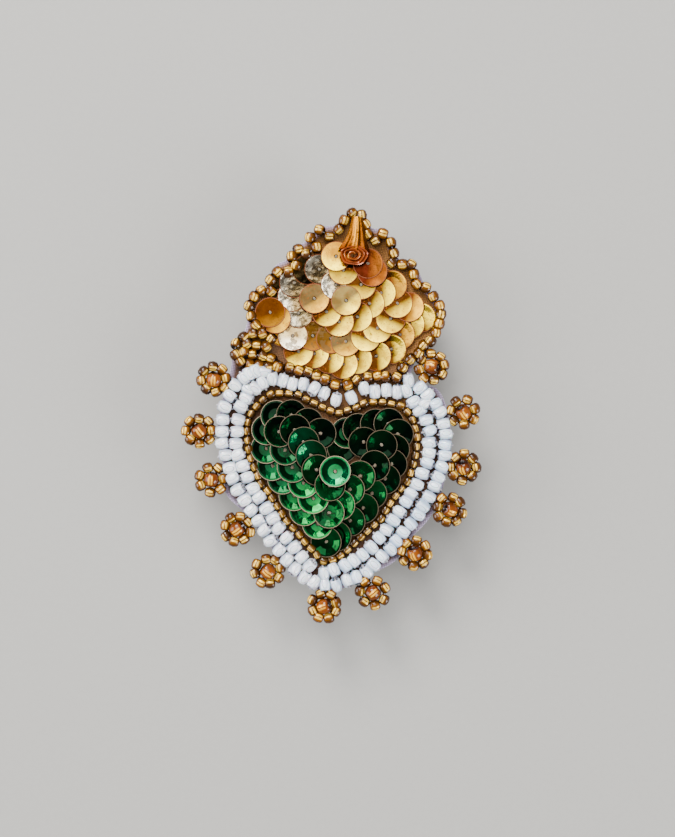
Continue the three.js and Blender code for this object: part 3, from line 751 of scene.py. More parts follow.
class Finish(Enum):
    """The finishes of the brooch, each made once."""
    # Each bead glass takes the colour of its lining bars, painted bright as a highlight, and the
    # painted dark shade of its bore.
    AMBER = LinedGlass("amber_glass", seen(0.95, 0.76, 0.29), seen(0.08, 0.03, 0.0))
    HONEY = LinedGlass("honey_glass", seen(1.0, 0.72, 0.2), seen(0.08, 0.01, 0.0),
                       bar_share=0.1, split=0.025)
    BRONZE = LinedGlass("bronze_glass", seen(1.0, 0.78, 0.32), seen(0.08, 0.04, 0.01))
    # Pearl glass: the painted shade at its sides and ends, its faint ring of painted shade, and the
    # painted dark shade of its bore.
    PEARL = MilkGlass("pearl_glass", seen(0.74, 0.76, 0.80), seen(0.52, 0.55, 0.62),
                      seen(0.24, 0.25, 0.30))
    GREEN = Foil("green_foil", rough=0.09, speck=(0.0, 0.004, 0.002), speck_share=0.4,
                 crease=0.00012, coat=0.06)
    GOLD = Foil("gold_foil", rough=0.09, speck=seen(0.40, 0.2, 0.05), speck_share=0.7,
                crease=0.00005)
    SILVER = Foil("silvery_foil", rough=0.12, speck=seen(0.26, 0.19, 0.10),
                  speck_share=0.6, blotch=0.75, crease=0.0001)
    AMBER_FILM = Foil("amber_film", rough=0.2, speck=seen(0.16, 0.05, 0.0), speck_share=0.6,
                      crease=0.00014)
    ROSE_FILM = Foil("rose_film", metal=0.4, rough=0.22, speck=seen(0.30, 0.09, 0.01),
                     speck_share=0.6, crease=0.0001, coat=0.3)
    GREEN_RIM = Rim("green_sequin_edge", seen(0.50, 0.43, 0.34))
    # The gold sequin's edge, darkened into a painted shadow line along each crescent.
    GOLD_RIM = Rim("gold_sequin_edge_and_shadow", seen(0.46, 0.22, 0.05))
    # The cloth's darker colour is painted shade in the gaps between the yarns.
    CLOTH = WovenCloth("woven_mesh", seen(0.78, 0.72, 0.82), seen(0.50, 0.44, 0.55))
    FELT = Felted("felt", seen(0.60, 0.56, 0.64), seen(0.40, 0.36, 0.46))
    # The darker thread colours are painted shade in the grooves between the plies.
    THREAD = Spun("sewing_thread", seen(0.75, 0.73, 0.76), seen(0.45, 0.42, 0.47))
    KNOT = Spun("thread_in_a_sequin", seen(0.46, 0.40, 0.30), seen(0.26, 0.22, 0.15))
    STEEL = Plated("nickel_plate", seen(0.83, 0.83, 0.82))
    FLOOR = PaleFloor("pale_floor", seen(0.64, 0.63, 0.61))

    @lru_cache(maxsize=None)
    def material(self) -> bpy.types.Material:
        """The finish as a material, made on first use."""
        return self.value.make()


def hand_over(piece: bpy.types.Object, body: str, slot: str, *nodes: str) -> None:
    """Seat a finished piece on its body in place of its plain nodes, and report it.

    Args:
        piece: the finished piece.
        body: the body that it moves with.
        slot: a material slot of the record; not used.
        nodes: the plain nodes that it stands for.
    """
    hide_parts(*nodes)
    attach(piece, body)
    LOG.info("%s: %d faces on %s", piece.name, len(piece.data.polygons), body)


# Beads

@dataclass(frozen=True)
class BeadForm:
    """A seed bead with its thread along Z, in millimetres."""
    across: float
    length: float
    bore: float
    around: int = 12
    shoulder: float = 0.6
    girdle: float = 0.3
    stretch: float = 1.04
    rings: int = 8

    def standing(self, tip: float) -> float:
        """How high its middle lies over the cloth when it is tipped by this much."""
        corner = self.length / 2 * abs(math.sin(tip)) + self.across / 2 * math.cos(tip)
        return self.across / 2 + max(0.0, corner - self.across / 2) * 0.5

    def model(self) -> bpy.types.Object:
        """Model one bead at the origin.

        Returns:
            The bead, to be copied from.
        """
        reach = (self.across + self.bore) / 4 * MM
        wall = (self.across - self.bore) / 4 * MM
        Bench.clear()
        bpy.ops.mesh.primitive_torus_add(
            major_segments=self.around, minor_segments=self.rings, major_radius=reach,
            minor_radius=wall, generate_uvs=True,
        )
        bead = bpy.context.object
        with Bench.editing(bead, "VERT"):
            bpy.ops.mesh.select_all(action="SELECT")
            bpy.ops.transform.resize(value=(1.0, 1.0, self.length * MM / 2 / wall))
        outside, girdle = reach + wall * 0.5, self.length * MM / 2 * self.girdle
        Bench.pick_points(bead, lambda co: co.xy.length > outside and abs(co.z) > girdle)
        widen = (reach + wall * self.shoulder) / (reach + wall * math.cos(2 * math.pi / self.rings))
        with Bench.editing(bead, "VERT"):
            bpy.ops.transform.resize(value=(widen, widen, self.stretch))
        Bench.soften(bead, 180.0)
        return bead


def seated(centre: Vector, heading: float, tip: float, spin: float) -> Matrix:
    """Place of a bead.

    Args:
        centre: its middle, in the frame's millimetres.
        heading: the way that its hole runs over the cloth, in radians.
        tip: how far that way is tipped down.
        spin: how far the bead is turned on its thread.

    Returns:
        The matrix that takes the bead's model there.
    """
    return (Matrix.Translation(centre * MM) @ Matrix.Rotation(heading, 4, "Z")
            @ Matrix.Rotation(math.pi / 2 + tip, 4, "Y") @ Matrix.Rotation(spin, 4, "Z"))


def coloured(template: bpy.types.Object, place: Matrix, colour: Colour) -> bpy.types.Object:
    """Copy a model to its place in one colour."""
    bead = Bench.copied(template, place)
    Bench.tint(bead, lambda co: colour)
    return bead


def threads(runs: Sequence[Sequence[Vector]], radius: float) -> list[bpy.types.Object]:
    """Lay sewing threads of this radius along runs of points, all in millimetres."""
    made = [tube(run, radius) for run in runs]
    for run in made:
        Bench.tint(run, lambda co: WHITE)
        Bench.dress(run, Finish.THREAD.material())
    return made


@dataclass(frozen=True)
class BeadTones:
    """The range of body colours of one kind of bead."""
    dark: Colour
    light: Colour

    def pick(self, chance: random.Random) -> Colour:
        """One bead's colour."""
        return between(self.dark, self.light, chance.random())


AMBER_TONES = BeadTones(seen(0.26, 0.145, 0.002), seen(0.42, 0.25, 0.004))
HONEY_TONES = BeadTones(seen(0.33, 0.145, 0.0), seen(0.45, 0.23, 0.004))
BRONZE_TONES = BeadTones(seen(0.22, 0.145, 0.025), seen(0.36, 0.24, 0.035))
PEARL_TONES = BeadTones(seen(0.94, 0.95, 0.96), seen(1.0, 1.0, 1.0))
# Painted light: the right-hand white rows are tinted bluish by sky light
SKYLIT_PEARL_TONES = BeadTones(seen(0.88, 0.94, 1.0), seen(0.97, 0.99, 1.0))


@dataclass
class BeadWork:
    """Beads sewn on the cloth one by one, as one piece with the thread in them."""
    name: str
    nodes: tuple[str, ...]
    form: BeadForm
    spots: list[Spot]
    tones: BeadTones
    finish: Finish
    slot: str
    crosswise: bool = False
    closed: bool = False
    wander: float = 0.07
    turn: float = 5.0
    spin: float = 0.35
    tip: float = 0.0
    unlike: float = 0.04
    thread_share: float = 0.3
    stitch_out: float = 0.25
    stitch_bend: float = 0.15
    lift: Callable[[Spot], float] = field(default=lambda spot: 0.0)

    def build(self) -> bpy.types.Object:
        """Copy the bead to its places, join the thread to it and hand the piece over.

        Returns:
            The strand or row.
        """
        chance = random.Random(self.name)
        template = self.form.model()
        Bench.dress(template, self.finish.material())
        parts = []
        centres = []
        for spot in self.spots:
            heading = spot.heading + (math.pi / 2 if self.crosswise else 0.0)
            heading += math.radians(chance.uniform(-self.turn, self.turn))
            tip = chance.uniform(-self.tip, self.tip)
            high = CLOTH_TOP + self.form.standing(tip) + self.lift(spot)
            centre = framed(spot.x + chance.uniform(-self.wander, self.wander),
                            spot.y + chance.uniform(-self.wander, self.wander), high)
            centres.append(centre)
            size = 1 + chance.uniform(-self.unlike, self.unlike)
            place = (seated(centre, heading, tip, chance.uniform(-self.spin, self.spin))
                     @ Matrix.Diagonal((size, size, size, 1)))
            parts.append(coloured(template, place, self.tones.pick(chance)))
        Bench.drop(template)
        parts.extend(self.thread(centres))
        piece = Bench.joined(parts, self.name)
        hand_over(piece, BROOCH, self.slot, *self.nodes)
        return piece

    def thread(self, centres: list[Vector]) -> list[bpy.types.Object]:
        """The sewing thread: through a strand from bead to bead, or through each crosswise bead."""
        if self.crosswise:
            reach = self.form.length / 2 + self.stitch_out
            bend = reach - self.stitch_bend
            runs = []
            for spot, centre in zip(self.spots, centres):
                side = Vector((-math.sin(spot.heading), math.cos(spot.heading), 0.0))
                down = Vector((0.0, 0.0, CLOTH_TOP - centre.z))
                runs.append([centre - side * reach + down, centre - side * bend,
                             centre + side * bend, centre + side * reach + down])
        else:
            runs = [[*centres, centres[0]] if self.closed else centres]
        return threads(runs, self.form.bore * self.thread_share)


@dataclass
class HeartBand:
    """The bronze strand round the heart and the band of white beads outside it."""
    strand: Route = Route((
        (0.2, 14.4), (1.8, 15.0), (3.6, 15.8), (5.4, 17.0), (8.0, 17.3), (10.0, 17.2),
        (11.9, 16.9), (13.2, 16.1), (14.4, 14.6), (15.1, 12.8), (15.7, 11.0), (15.7, 7.5),
        (15.1, 4.2), (14.7, 2.6), (13.3, 0.5), (12.1, -1.5), (11.2, -3.0), (10.1, -5.4),
        (8.2, -7.3), (5.7, -10.2), (2.9, -13.2), (0.0, -14.5), (-1.9, -12.8), (-3.6, -11.6),
        (-5.5, -9.4), (-7.5, -7.7), (-9.4, -5.5), (-11.7, -2.5), (-13.6, -0.6), (-14.8, 1.8),
        (-16.1, 4.2), (-17.1, 8.2), (-17.3, 11.0), (-16.4, 13.4), (-14.8, 15.4), (-13.2, 16.8),
        (-11.0, 17.2), (-8.6, 17.2), (-5.7, 16.1), (-2.5, 15.0),
    ), closed=True)
    inner_right: Route = Route((
        (0.2, -16.8), (2.2, -16.2), (4.0, -15.2), (6.0, -13.8), (8.0, -12.0), (10.4, -8.9),
        (12.5, -5.7), (13.8, -3.5), (15.8, 0.5), (16.8, 2.6), (17.5, 4.9), (18.3, 6.7),
        (18.4, 8.5), (18.3, 10.5), (18.0, 12.6), (16.6, 15.5), (14.4, 18.2),
    ))
    outer_right: Route = Route((
        (0.8, -19.2), (3.3, -18.6), (5.3, -17.7), (6.8, -17.0), (8.7, -15.3), (11.0, -12.7),
        (12.6, -10.8), (14.5, -8.0), (15.7, -6.1), (17.0, -4.3), (17.9, -2.2), (19.3, 0.3),
        (20.3, 2.6), (20.9, 4.8), (21.3, 7.0), (21.5, 9.2), (21.4, 11.5), (21.0, 13.5),
        (19.8, 16.5), (18.4, 18.4), (17.0, 19.6), (15.4, 20.8),
    ))
    inner_left: Route = Route((
        (-2.6, -15.5), (-4.3, -14.2), (-6.3, -12.2), (-8.4, -9.9), (-10.6, -7.3), (-12.8, -4.6),
        (-14.5, -2.6), (-16.3, -0.3), (-17.3, 2.1), (-18.6, 4.7), (-19.3, 7.2), (-19.4, 9.7),
        (-19.3, 13.0), (-18.3, 15.6), (-16.6, 17.6),
    ))
    outer_left: Route = Route((
        (-1.4, -18.8), (-3.4, -17.9), (-5.5, -16.5), (-7.3, -14.6), (-9.2, -12.9), (-10.9, -10.9),
        (-12.6, -8.8), (-14.4, -6.6), (-16.0, -4.6), (-17.4, -2.8), (-19.0, -0.8), (-20.3, 2.6),
        (-21.2, 4.9), (-22.0, 7.5), (-22.1, 10.2), (-22.1, 13.0), (-21.5, 15.4), (-20.3, 18.0),
        (-18.6, 19.8), (-16.9, 21.0),
    ))
    top: Route = Route((
        (-15.1, 18.9), (-13.5, 20.0), (-11.5, 19.9), (-9.5, 19.4), (-7.4, 19.4), (-5.1, 18.6),
        (-3.0, 17.9), (-0.8, 17.2), (2.1, 17.6), (4.6, 19.9), (6.8, 19.5), (9.1, 19.9),
        (11.2, 19.6), (12.7, 20.2),
    ))
    corners: tuple[Spot, ...] = (
        Spot(-18.1, 20.3, 0.5), Spot(-15.2, 21.0, 1.6), Spot(13.0, 22.2, 0.2),
        Spot(16.6, 18.0, -0.9), Spot(-17.9, 17.3, 1.0),
    )
    bronze: BeadForm = BeadForm(1.65, 1.7, 0.5, around=10, shoulder=0.66)
    bronze_pitch: float = 1.78
    pearl: BeadForm = BeadForm(2.35, 2.55, 0.7, around=16, shoulder=0.7, rings=12)
    pearl_pitch: float = 2.12
    wide_pearl: BeadForm = BeadForm(2.5, 2.6, 0.7, around=16, shoulder=0.7, rings=12)
    wide_inner_pitch: float = 2.32
    wide_outer_pitch: float = 2.36
    crowded: tuple[Point, ...] = ((-16.5, 19.5), (15.0, 19.5))
    crowd_reach: float = 3.5
    crowd_rise: float = 0.5

    def build(self) -> None:
        """Build the strand and the rows of the band."""
        BeadWork("heart_strand_beads", ("heart_outline_strand",), self.bronze,
                 self.strand.spots(self.bronze_pitch), BRONZE_TONES, Finish.BRONZE,
                 "bronze_beads", closed=True, wander=0.05).build()
        rows = (
            ("inner_right", self.inner_right.spots(self.pearl_pitch), self.pearl),
            ("outer_right", self.outer_right.spots(self.pearl_pitch), self.pearl),
            ("inner_left", self.inner_left.spots(self.wide_inner_pitch), self.wide_pearl),
            ("outer_left", self.outer_left.spots(self.wide_outer_pitch), self.wide_pearl),
            ("top", [*self.top.own_spots(), *self.corners], self.pearl),
        )
        for side, spots, form in rows:
            # The right-hand rows take the bluish tint of painted sky light
            tones = SKYLIT_PEARL_TONES if side.endswith("right") else PEARL_TONES
            BeadWork(f"white_{side}_beads", (f"pearl_row_{side}",), form, spots, tones,
                     Finish.PEARL, "pearl_beads", crosswise=True, wander=0.16, turn=12.0,
                     spin=0.6, tip=0.38, lift=self.heave).build()

    def heave(self, spot: Spot) -> float:
        """How far a white bead is pushed up by its neighbours: most in the upper corners."""
        corner = min(math.dist((spot.x, spot.y), place) for place in self.crowded)
        return self.crowd_rise * max(0.0, 1.0 - corner / self.crowd_reach)


@dataclass
class Florets:
    """Twelve florets on the edge: a ring of beads on a loop, and a raised bead in the middle."""
    centres: tuple[Point, ...] = (
        (25.3, 6.4), (24.2, 17.0), (17.3, 25.2), (-24.7, 18.6), (-26.6, 8.4), (-23.3, -0.8),
        (-17.4, -9.9), (-10.6, -17.5), (1.0, -23.2), (10.1, -19.7), (17.5, -11.2), (23.4, -2.1),
    )
    ring: float = 2.5
    count: int = 8
    form: BeadForm = BeadForm(2.15, 1.95, 0.5)
    heart: BeadForm = BeadForm(3.2, 2.7, 0.5, around=14, shoulder=0.55)
    heart_middle: Point = (-0.7, 2.0)
    stray: float = 0.06
    uneven: float = 0.05
    rise: float = 0.25
    sway: float = 0.2
    spin: float = 0.9
    heart_sway: float = 0.8
    heart_spin: float = 0.5
    thread: float = 0.16
    tie: tuple[float, float] = (2.9, 0.8)
    seam: tuple[float, float] = (4.4, 0.1)

    def build(self) -> None:
        """Build the florets, each on its own node."""
        for number, centre in enumerate(self.centres, start=1):
            chance = random.Random(40 + number)
            beads, loop = self.loop(number, centre, chance)
            middle = framed(*centre, CLOTH_TOP + self.heart.across / 2)
            beads.append(self.raised(middle, chance))
            runs = ([*loop, loop[0]], [loop[0], middle, loop[len(loop) // 2]],
                    [middle, self.inward(centre, *self.tie), self.inward(centre, *self.seam)])
            piece = Bench.joined([*beads, *threads(runs, self.thread)],
                                 f"floret_{number:02d}_beads")
            hand_over(piece, BROOCH, "amber_beads", f"floret_{number:02d}")

    def loop(self, number: int, centre: Point,
             chance: random.Random) -> tuple[list[bpy.types.Object], list[Vector]]:
        """Lay the ring of one floret.

        Args:
            number: the floret's number; the second, sixth and tenth have one bead less.
            centre: its middle in the drawing.
            chance: the source of its small differences.

        Returns:
            The beads and their middles.
        """
        template = self.form.model()
        Bench.dress(template, Finish.AMBER.material())
        count = self.count - (1 if number % 4 == 2 else 0)
        start = chance.uniform(0, 2 * math.pi)
        beads, middles = [], []
        for step in range(count):
            angle = start + 2 * math.pi * step / count + chance.uniform(-self.stray, self.stray)
            radius = self.ring * (1 + chance.uniform(-self.uneven, self.uneven))
            high = CLOTH_TOP + self.form.across / 2 + chance.uniform(0.0, self.rise)
            middle = framed(centre[0] + radius * math.cos(angle),
                            centre[1] + radius * math.sin(angle), high)
            place = seated(middle, angle + math.pi / 2 + chance.uniform(-self.sway, self.sway),
                           chance.uniform(-self.sway, self.sway),
                           chance.uniform(-self.spin, self.spin))
            middles.append(middle)
            beads.append(coloured(template, place, AMBER_TONES.pick(chance)))
        Bench.drop(template)
        return beads, middles

    def raised(self, middle: Vector, chance: random.Random) -> bpy.types.Object:
        """Lay the large bead in the middle of a floret."""
        template = self.heart.model()
        Bench.dress(template, Finish.HONEY.material())
        place = seated(middle, chance.uniform(0, 2 * math.pi),
                       chance.uniform(-self.heart_sway, self.heart_sway),
                       chance.uniform(-self.heart_spin, self.heart_spin))
        bead = coloured(template, place, HONEY_TONES.pick(chance))
        Bench.drop(template)
        return bead

    def inward(self, centre: Point, reach: float, high: float) -> Vector:
        """The place so far from a floret's middle towards the heart, so high over the cloth."""
        way = (Vector(self.heart_middle) - Vector(centre)).normalized()
        return framed(centre[0] + way.x * reach, centre[1] + way.y * reach, CLOTH_TOP + high)


@dataclass
class FlameBeads:
    """Amber beads round the flame, the patch on its left, and the strand along its base."""
    base: Route = Route((
        (-10.4, 22.3), (-8.4, 22.0), (-6.6, 21.9), (-4.9, 21.4), (-3.2, 20.7), (-1.1, 20.0),
        (1.2, 20.1), (3.2, 21.0), (5.0, 22.0), (6.9, 22.5), (8.6, 22.5), (10.6, 22.4),
    ))
    right: Route = Route((
        (11.6, 24.6), (12.9, 26.4), (14.4, 27.6), (15.2, 29.2), (16.6, 30.2), (17.3, 31.9),
        (17.9, 33.7), (18.0, 35.5), (17.7, 37.3), (16.2, 38.9), (14.6, 40.4), (12.8, 40.9),
        (12.1, 42.9), (11.3, 44.6), (9.6, 44.6), (7.6, 44.7), (7.7, 46.6), (7.0, 48.4),
        (5.3, 50.0), (4.0, 48.5), (2.3, 49.7), (1.7, 51.6), (0.7, 53.3),
    ))
    left: Route = Route((
        (-1.2, 53.5), (-2.5, 51.9), (-3.4, 50.2), (-5.2, 48.6), (-7.1, 49.6), (-8.8, 48.0),
        (-7.4, 46.2), (-9.3, 44.6), (-10.9, 45.4), (-11.9, 44.0), (-10.9, 42.4), (-12.4, 40.7),
        (-14.4, 40.7), (-15.6, 38.9), (-15.4, 36.9), (-17.3, 36.8), (-18.6, 35.4), (-19.2, 33.5),
        (-18.6, 31.6), (-17.6, 30.1),
    ))
    patch: Route = Route((
        (-16.2, 28.6), (-18.0, 28.4), (-19.8, 27.4), (-21.2, 25.9), (-21.1, 23.9), (-19.9, 22.5),
        (-18.1, 22.2), (-16.3, 22.2), (-14.5, 22.1), (-12.6, 22.4), (-14.0, 23.8), (-15.8, 24.1),
        (-17.7, 24.2), (-19.3, 24.4), (-18.9, 26.2), (-17.1, 26.1), (-15.3, 26.0), (-14.4, 27.6),
    ))
    form: BeadForm = BeadForm(2.3, 2.0, 0.5)
    strand_tip: float = 0.3
    patch_tip: float = 0.65

    def build(self) -> None:
        """Build the strands, each on its own node."""
        strands = (
            ("base", "flame_strand_base", self.base, self.strand_tip),
            ("right", "flame_strand_right", self.right, self.strand_tip),
            ("left", "flame_strand_left", self.left, self.strand_tip),
            ("patch", "flame_patch_strand", self.patch, self.patch_tip),
        )
        for side, node, route, tip in strands:
            BeadWork(f"flame_{side}_beads", (node,), self.form, route.own_spots(), AMBER_TONES,
                     Finish.AMBER, "amber_beads", wander=0.1, turn=22.0, spin=0.8, tip=tip).build()


# Sequins

# Where a sequin is felt for others under it: rings over its film, places round each, and how far
# out the outermost ring lies
PROBE_RINGS = 6
PROBE_PLACES = 16
PROBE_REACH = 0.995


@dataclass(frozen=True)
class SequinForm:
    """A cup sequin lying open upwards round the origin, in millimetres."""
    across: float
    hole: float
    floor: float
    shoulder: float
    depth: float
    sides: int
    edge: float = 0.16
    film: float = 0.07
    faceted: bool = False
    knot_share: float = 0.42

    def sink(self, radius: float) -> float:
        """How far below the rim's plane the film lies at this radius."""
        share = (self.shoulder - radius) / (self.shoulder - self.floor)
        return self.depth * min(1.0, max(0.0, share))

    def model(self) -> bpy.types.Object:
        """Model one sequin: rim, sloped wall, floor and hole.

        Returns:
            The sequin, to be copied from, its edge on material 1 and the thread in it on 2.
        """
        Bench.clear()
        bpy.ops.mesh.primitive_circle_add(
            vertices=self.sides, radius=self.across / 2 * MM, fill_type="NGON",
        )
        cup = bpy.context.object
        with Bench.editing(cup):
            bpy.ops.mesh.select_all(action="SELECT")
            bpy.ops.mesh.inset(thickness=self.edge * MM)
            bpy.ops.mesh.inset(thickness=(self.across / 2 - self.edge - self.shoulder) * MM)
            bpy.ops.mesh.inset(thickness=(self.shoulder - self.floor) * MM,
                               depth=-self.depth * MM)
            bpy.ops.mesh.inset(thickness=(self.floor - self.hole / 2) * MM)
            bpy.ops.mesh.delete(type="FACE")
        if self.faceted:
            self.flatten(cup)
        Bench.finish_with(cup, "SOLIDIFY", thickness=self.film * MM, offset=0.0)
        sequin = Bench.joined([cup, self.knot()], "sequin")
        border = (self.across / 2 - self.edge) * math.cos(math.pi / self.sides) * MM
        for face in sequin.data.polygons:
            out = face.center.xy.length
            in_hole = out < 0.45 * self.hole * MM
            face.material_index = 1 if out > border else 2 if in_hole else 0
        return sequin

    def flatten(self, cup: bpy.types.Object) -> None:
        """Draw every second point of the wall in, so that it has flat facets two steps wide."""
        step = 2 * math.pi / self.sides
        inner, outer = self.floor * 0.9 * MM, self.shoulder * 1.02 * MM

        def between_corners(co: Vector) -> bool:
            """Whether a point of the wall lies in the middle of a facet's side."""
            turn = round(math.atan2(co.y, co.x) / step)
            return turn % 2 == 1 and inner < co.xy.length < outer

        Bench.pick_points(cup, between_corners)
        draw = math.cos(step)
        with Bench.editing(cup, "VERT"):
            bpy.ops.transform.resize(value=(draw, draw, 1.0), center_override=(0.0, 0.0, 0.0))

    def knot(self) -> bpy.types.Object:
        """The turn of thread that fills the hole."""
        Bench.clear()
        bpy.ops.mesh.primitive_uv_sphere_add(
            segments=8, ring_count=4, radius=self.hole * self.knot_share * MM,
            location=(0.0, 0.0, -self.depth * MM),
        )
        knot = bpy.context.object
        Bench.settle(knot)
        with Bench.editing(knot):
            bpy.ops.mesh.select_all(action="SELECT")
            bpy.ops.transform.resize(value=(1.0, 0.75, self.film * 1.2 / self.hole),
                                     center_override=(0.0, 0.0, -self.depth * MM))
        for face in knot.data.polygons:
            face.use_smooth = True
        return knot


@dataclass
class Laid:
    """A sequin in its place: the rim's middle, how far it leans and to which side it rises."""
    x: float
    y: float
    high: float
    lean: float
    toward: float
    form: SequinForm

    def film(self, x: float, y: float) -> Optional[float]:
        """Height of its film over a place, or None outside it."""
        dx, dy = x - self.x, y - self.y
        radius = math.hypot(dx, dy)
        if radius > self.form.across / 2:
            return None
        rise = math.tan(self.lean) * (dx * math.cos(self.toward) + dy * math.sin(self.toward))
        return self.high + rise - self.form.sink(radius)

    def lay_over(self, others: Sequence["Laid"], seat: float, gap: float) -> None:
        """Let it down until it rests on the seat or a gap over the sequins under it."""
        self.high = 0.0
        needed = seat
        for ring in range(PROBE_RINGS + 1):
            radius = self.form.across / 2 * ring / PROBE_RINGS * PROBE_REACH
            for step in range(PROBE_PLACES if ring else 1):
                angle = 2 * math.pi * step / PROBE_PLACES
                x, y = self.x + radius * math.cos(angle), self.y + radius * math.sin(angle)
                own = self.film(x, y)
                needed = max(needed, seat - own)
                for other in others:
                    under = other.film(x, y)
                    if under is not None:
                        needed = max(needed, under + gap - own)
        self.high = needed

    def matrix(self, spin: float) -> Matrix:
        """Where the sequin's model goes."""
        return (Matrix.Translation(framed(self.x, self.y, self.high) * MM)
                @ Matrix.Rotation(self.toward, 4, "Z") @ Matrix.Rotation(-self.lean, 4, "Y")
                @ Matrix.Rotation(spin, 4, "Z"))


@dataclass(frozen=True)
class FilmTone:
    """A sequin's colour at the edge that shows, the painted shadow and reflection where the next
    one covers it, and its film.

    The fade says how fast the first colour goes over into the second.
    """
    open: Colour
    covered_shade: Colour
    finish: Finish = Finish.GOLD
    edge: Finish = Finish.GOLD_RIM
    fade: float = 2.35


class Tone(Enum):
    """The kinds of sequin on the brooch; the four greens are one green foil in painted light and
    shade.
    """
    # One green foil in painted light: lit emerald, half shaded at the sides, shaded in the upper
    # lobes, and teal as a painted sky reflection.
    EMERALD = FilmTone(seen(0.003, 0.38, 0.16), seen(0.001, 0.18, 0.07),
                       Finish.GREEN, Finish.GREEN_RIM, 1.9)
    BOTTLE = FilmTone(seen(0.002, 0.23, 0.10), seen(0.001, 0.12, 0.05),
                      Finish.GREEN, Finish.GREEN_RIM, 1.9)
    DEEP_GREEN = FilmTone(seen(0.002, 0.20, 0.075), seen(0.001, 0.10, 0.04),
                          Finish.GREEN, Finish.GREEN_RIM, 1.9)
    TEAL = FilmTone(seen(0.0, 0.42, 0.25), seen(0.002, 0.26, 0.12),
                    Finish.GREEN, Finish.GREEN_RIM, 1.9)
    YELLOW = FilmTone(seen(0.97, 0.83, 0.20), seen(0.23, 0.125, 0.03))
    LEMON = FilmTone(seen(0.98, 0.86, 0.20), seen(0.66, 0.48, 0.10))
    # Gold whose painted shade, on the side that the next sequin covers, is greyer
    DUSTY = FilmTone(seen(0.94, 0.80, 0.20), seen(0.36, 0.30, 0.16))
    COPPER = FilmTone(seen(0.80, 0.60, 0.14), seen(0.26, 0.12, 0.03))
    BRONZED = FilmTone(seen(0.82, 0.62, 0.16), seen(0.28, 0.22, 0.12))
    # A brown sequin darkened by painted shade
    BROWN = FilmTone(seen(0.48, 0.30, 0.08), seen(0.22, 0.14, 0.03), Finish.SILVER)
    SILVERY = FilmTone(seen(0.98, 0.94, 0.84), seen(0.62, 0.54, 0.38), Finish.SILVER)
    DARK = FilmTone(seen(0.30, 0.24, 0.12), seen(0.11, 0.09, 0.05), Finish.SILVER)
    RED = FilmTone(seen(0.50, 0.28, 0.07), seen(0.24, 0.08, 0.03), Finish.AMBER_FILM)
    OLIVE_AMBER = FilmTone(seen(0.46, 0.30, 0.04), seen(0.28, 0.14, 0.01), Finish.AMBER_FILM)


@dataclass
class SequinWork:
    """Lapped sequins that share one piece and its node."""
    name: str
    node: str
    slot: str
    dullest: float = 0.72
    brightest: float = 1.12
    spin: float = 0.4
    open_share: float = 1.15
    wall_shade: float = 1.2

    def build(self, laid: Sequence[tuple[Laid, Tone]]) -> bpy.types.Object:
        """Copy the sequins to where they were laid.

        Args:
            laid: the sequins of this piece with their tones.

        Returns:
            The piece.
        """
        chance = random.Random(self.name)
        templates = {}
        parts = []
        for sequin, tone in laid:
            if sequin.form not in templates:
                templates[sequin.form] = sequin.form.model()
            cup = Bench.copied(templates[sequin.form], Matrix.Identity(4))
            bright = chance.uniform(self.dullest, self.brightest)
            self.colour(cup, sequin.form, tone.value, bright)
            Bench.dress(cup, tone.value.finish.material(), tone.value.edge.material(),
                        Finish.KNOT.material())
            cup.data.transform(sequin.matrix(chance.uniform(0, self.spin)))
            parts.append(cup)
        Bench.drop(*templates.values())
        piece = Bench.joined(parts, self.name)
        hand_over(piece, BROOCH, self.slot, self.node)
        return piece

    def colour(self, cup: bpy.types.Object, form: SequinForm, tone: FilmTone,
               bright: float) -> None:
        """Shade one sequin with painted shadow: darker towards the side that the next one covers,
        its open colour at its open edge, and painted shade on its sloped wall.
        """
        half = form.across / 2 * MM

        def shade(co: Vector) -> Colour:
            """Colour of one point, in the sequin's own place."""
            share = 0.5 + 0.5 * co.x / half
            # Painted shadow and reflection of the next sequin, growing towards the side that it
            # covers
            mixed = between(tone.covered_shade, tone.open, self.open_share - tone.fade * (1 - share))
            # Painted shade on the cup's sloped wall
            if form.floor < co.xy.length / MM < form.shoulder + 0.05:
                mixed = between(mixed, tone.covered_shade, form.depth * self.wall_shade)
            return dimmed(mixed, bright)

        Bench.tint(cup, shade)


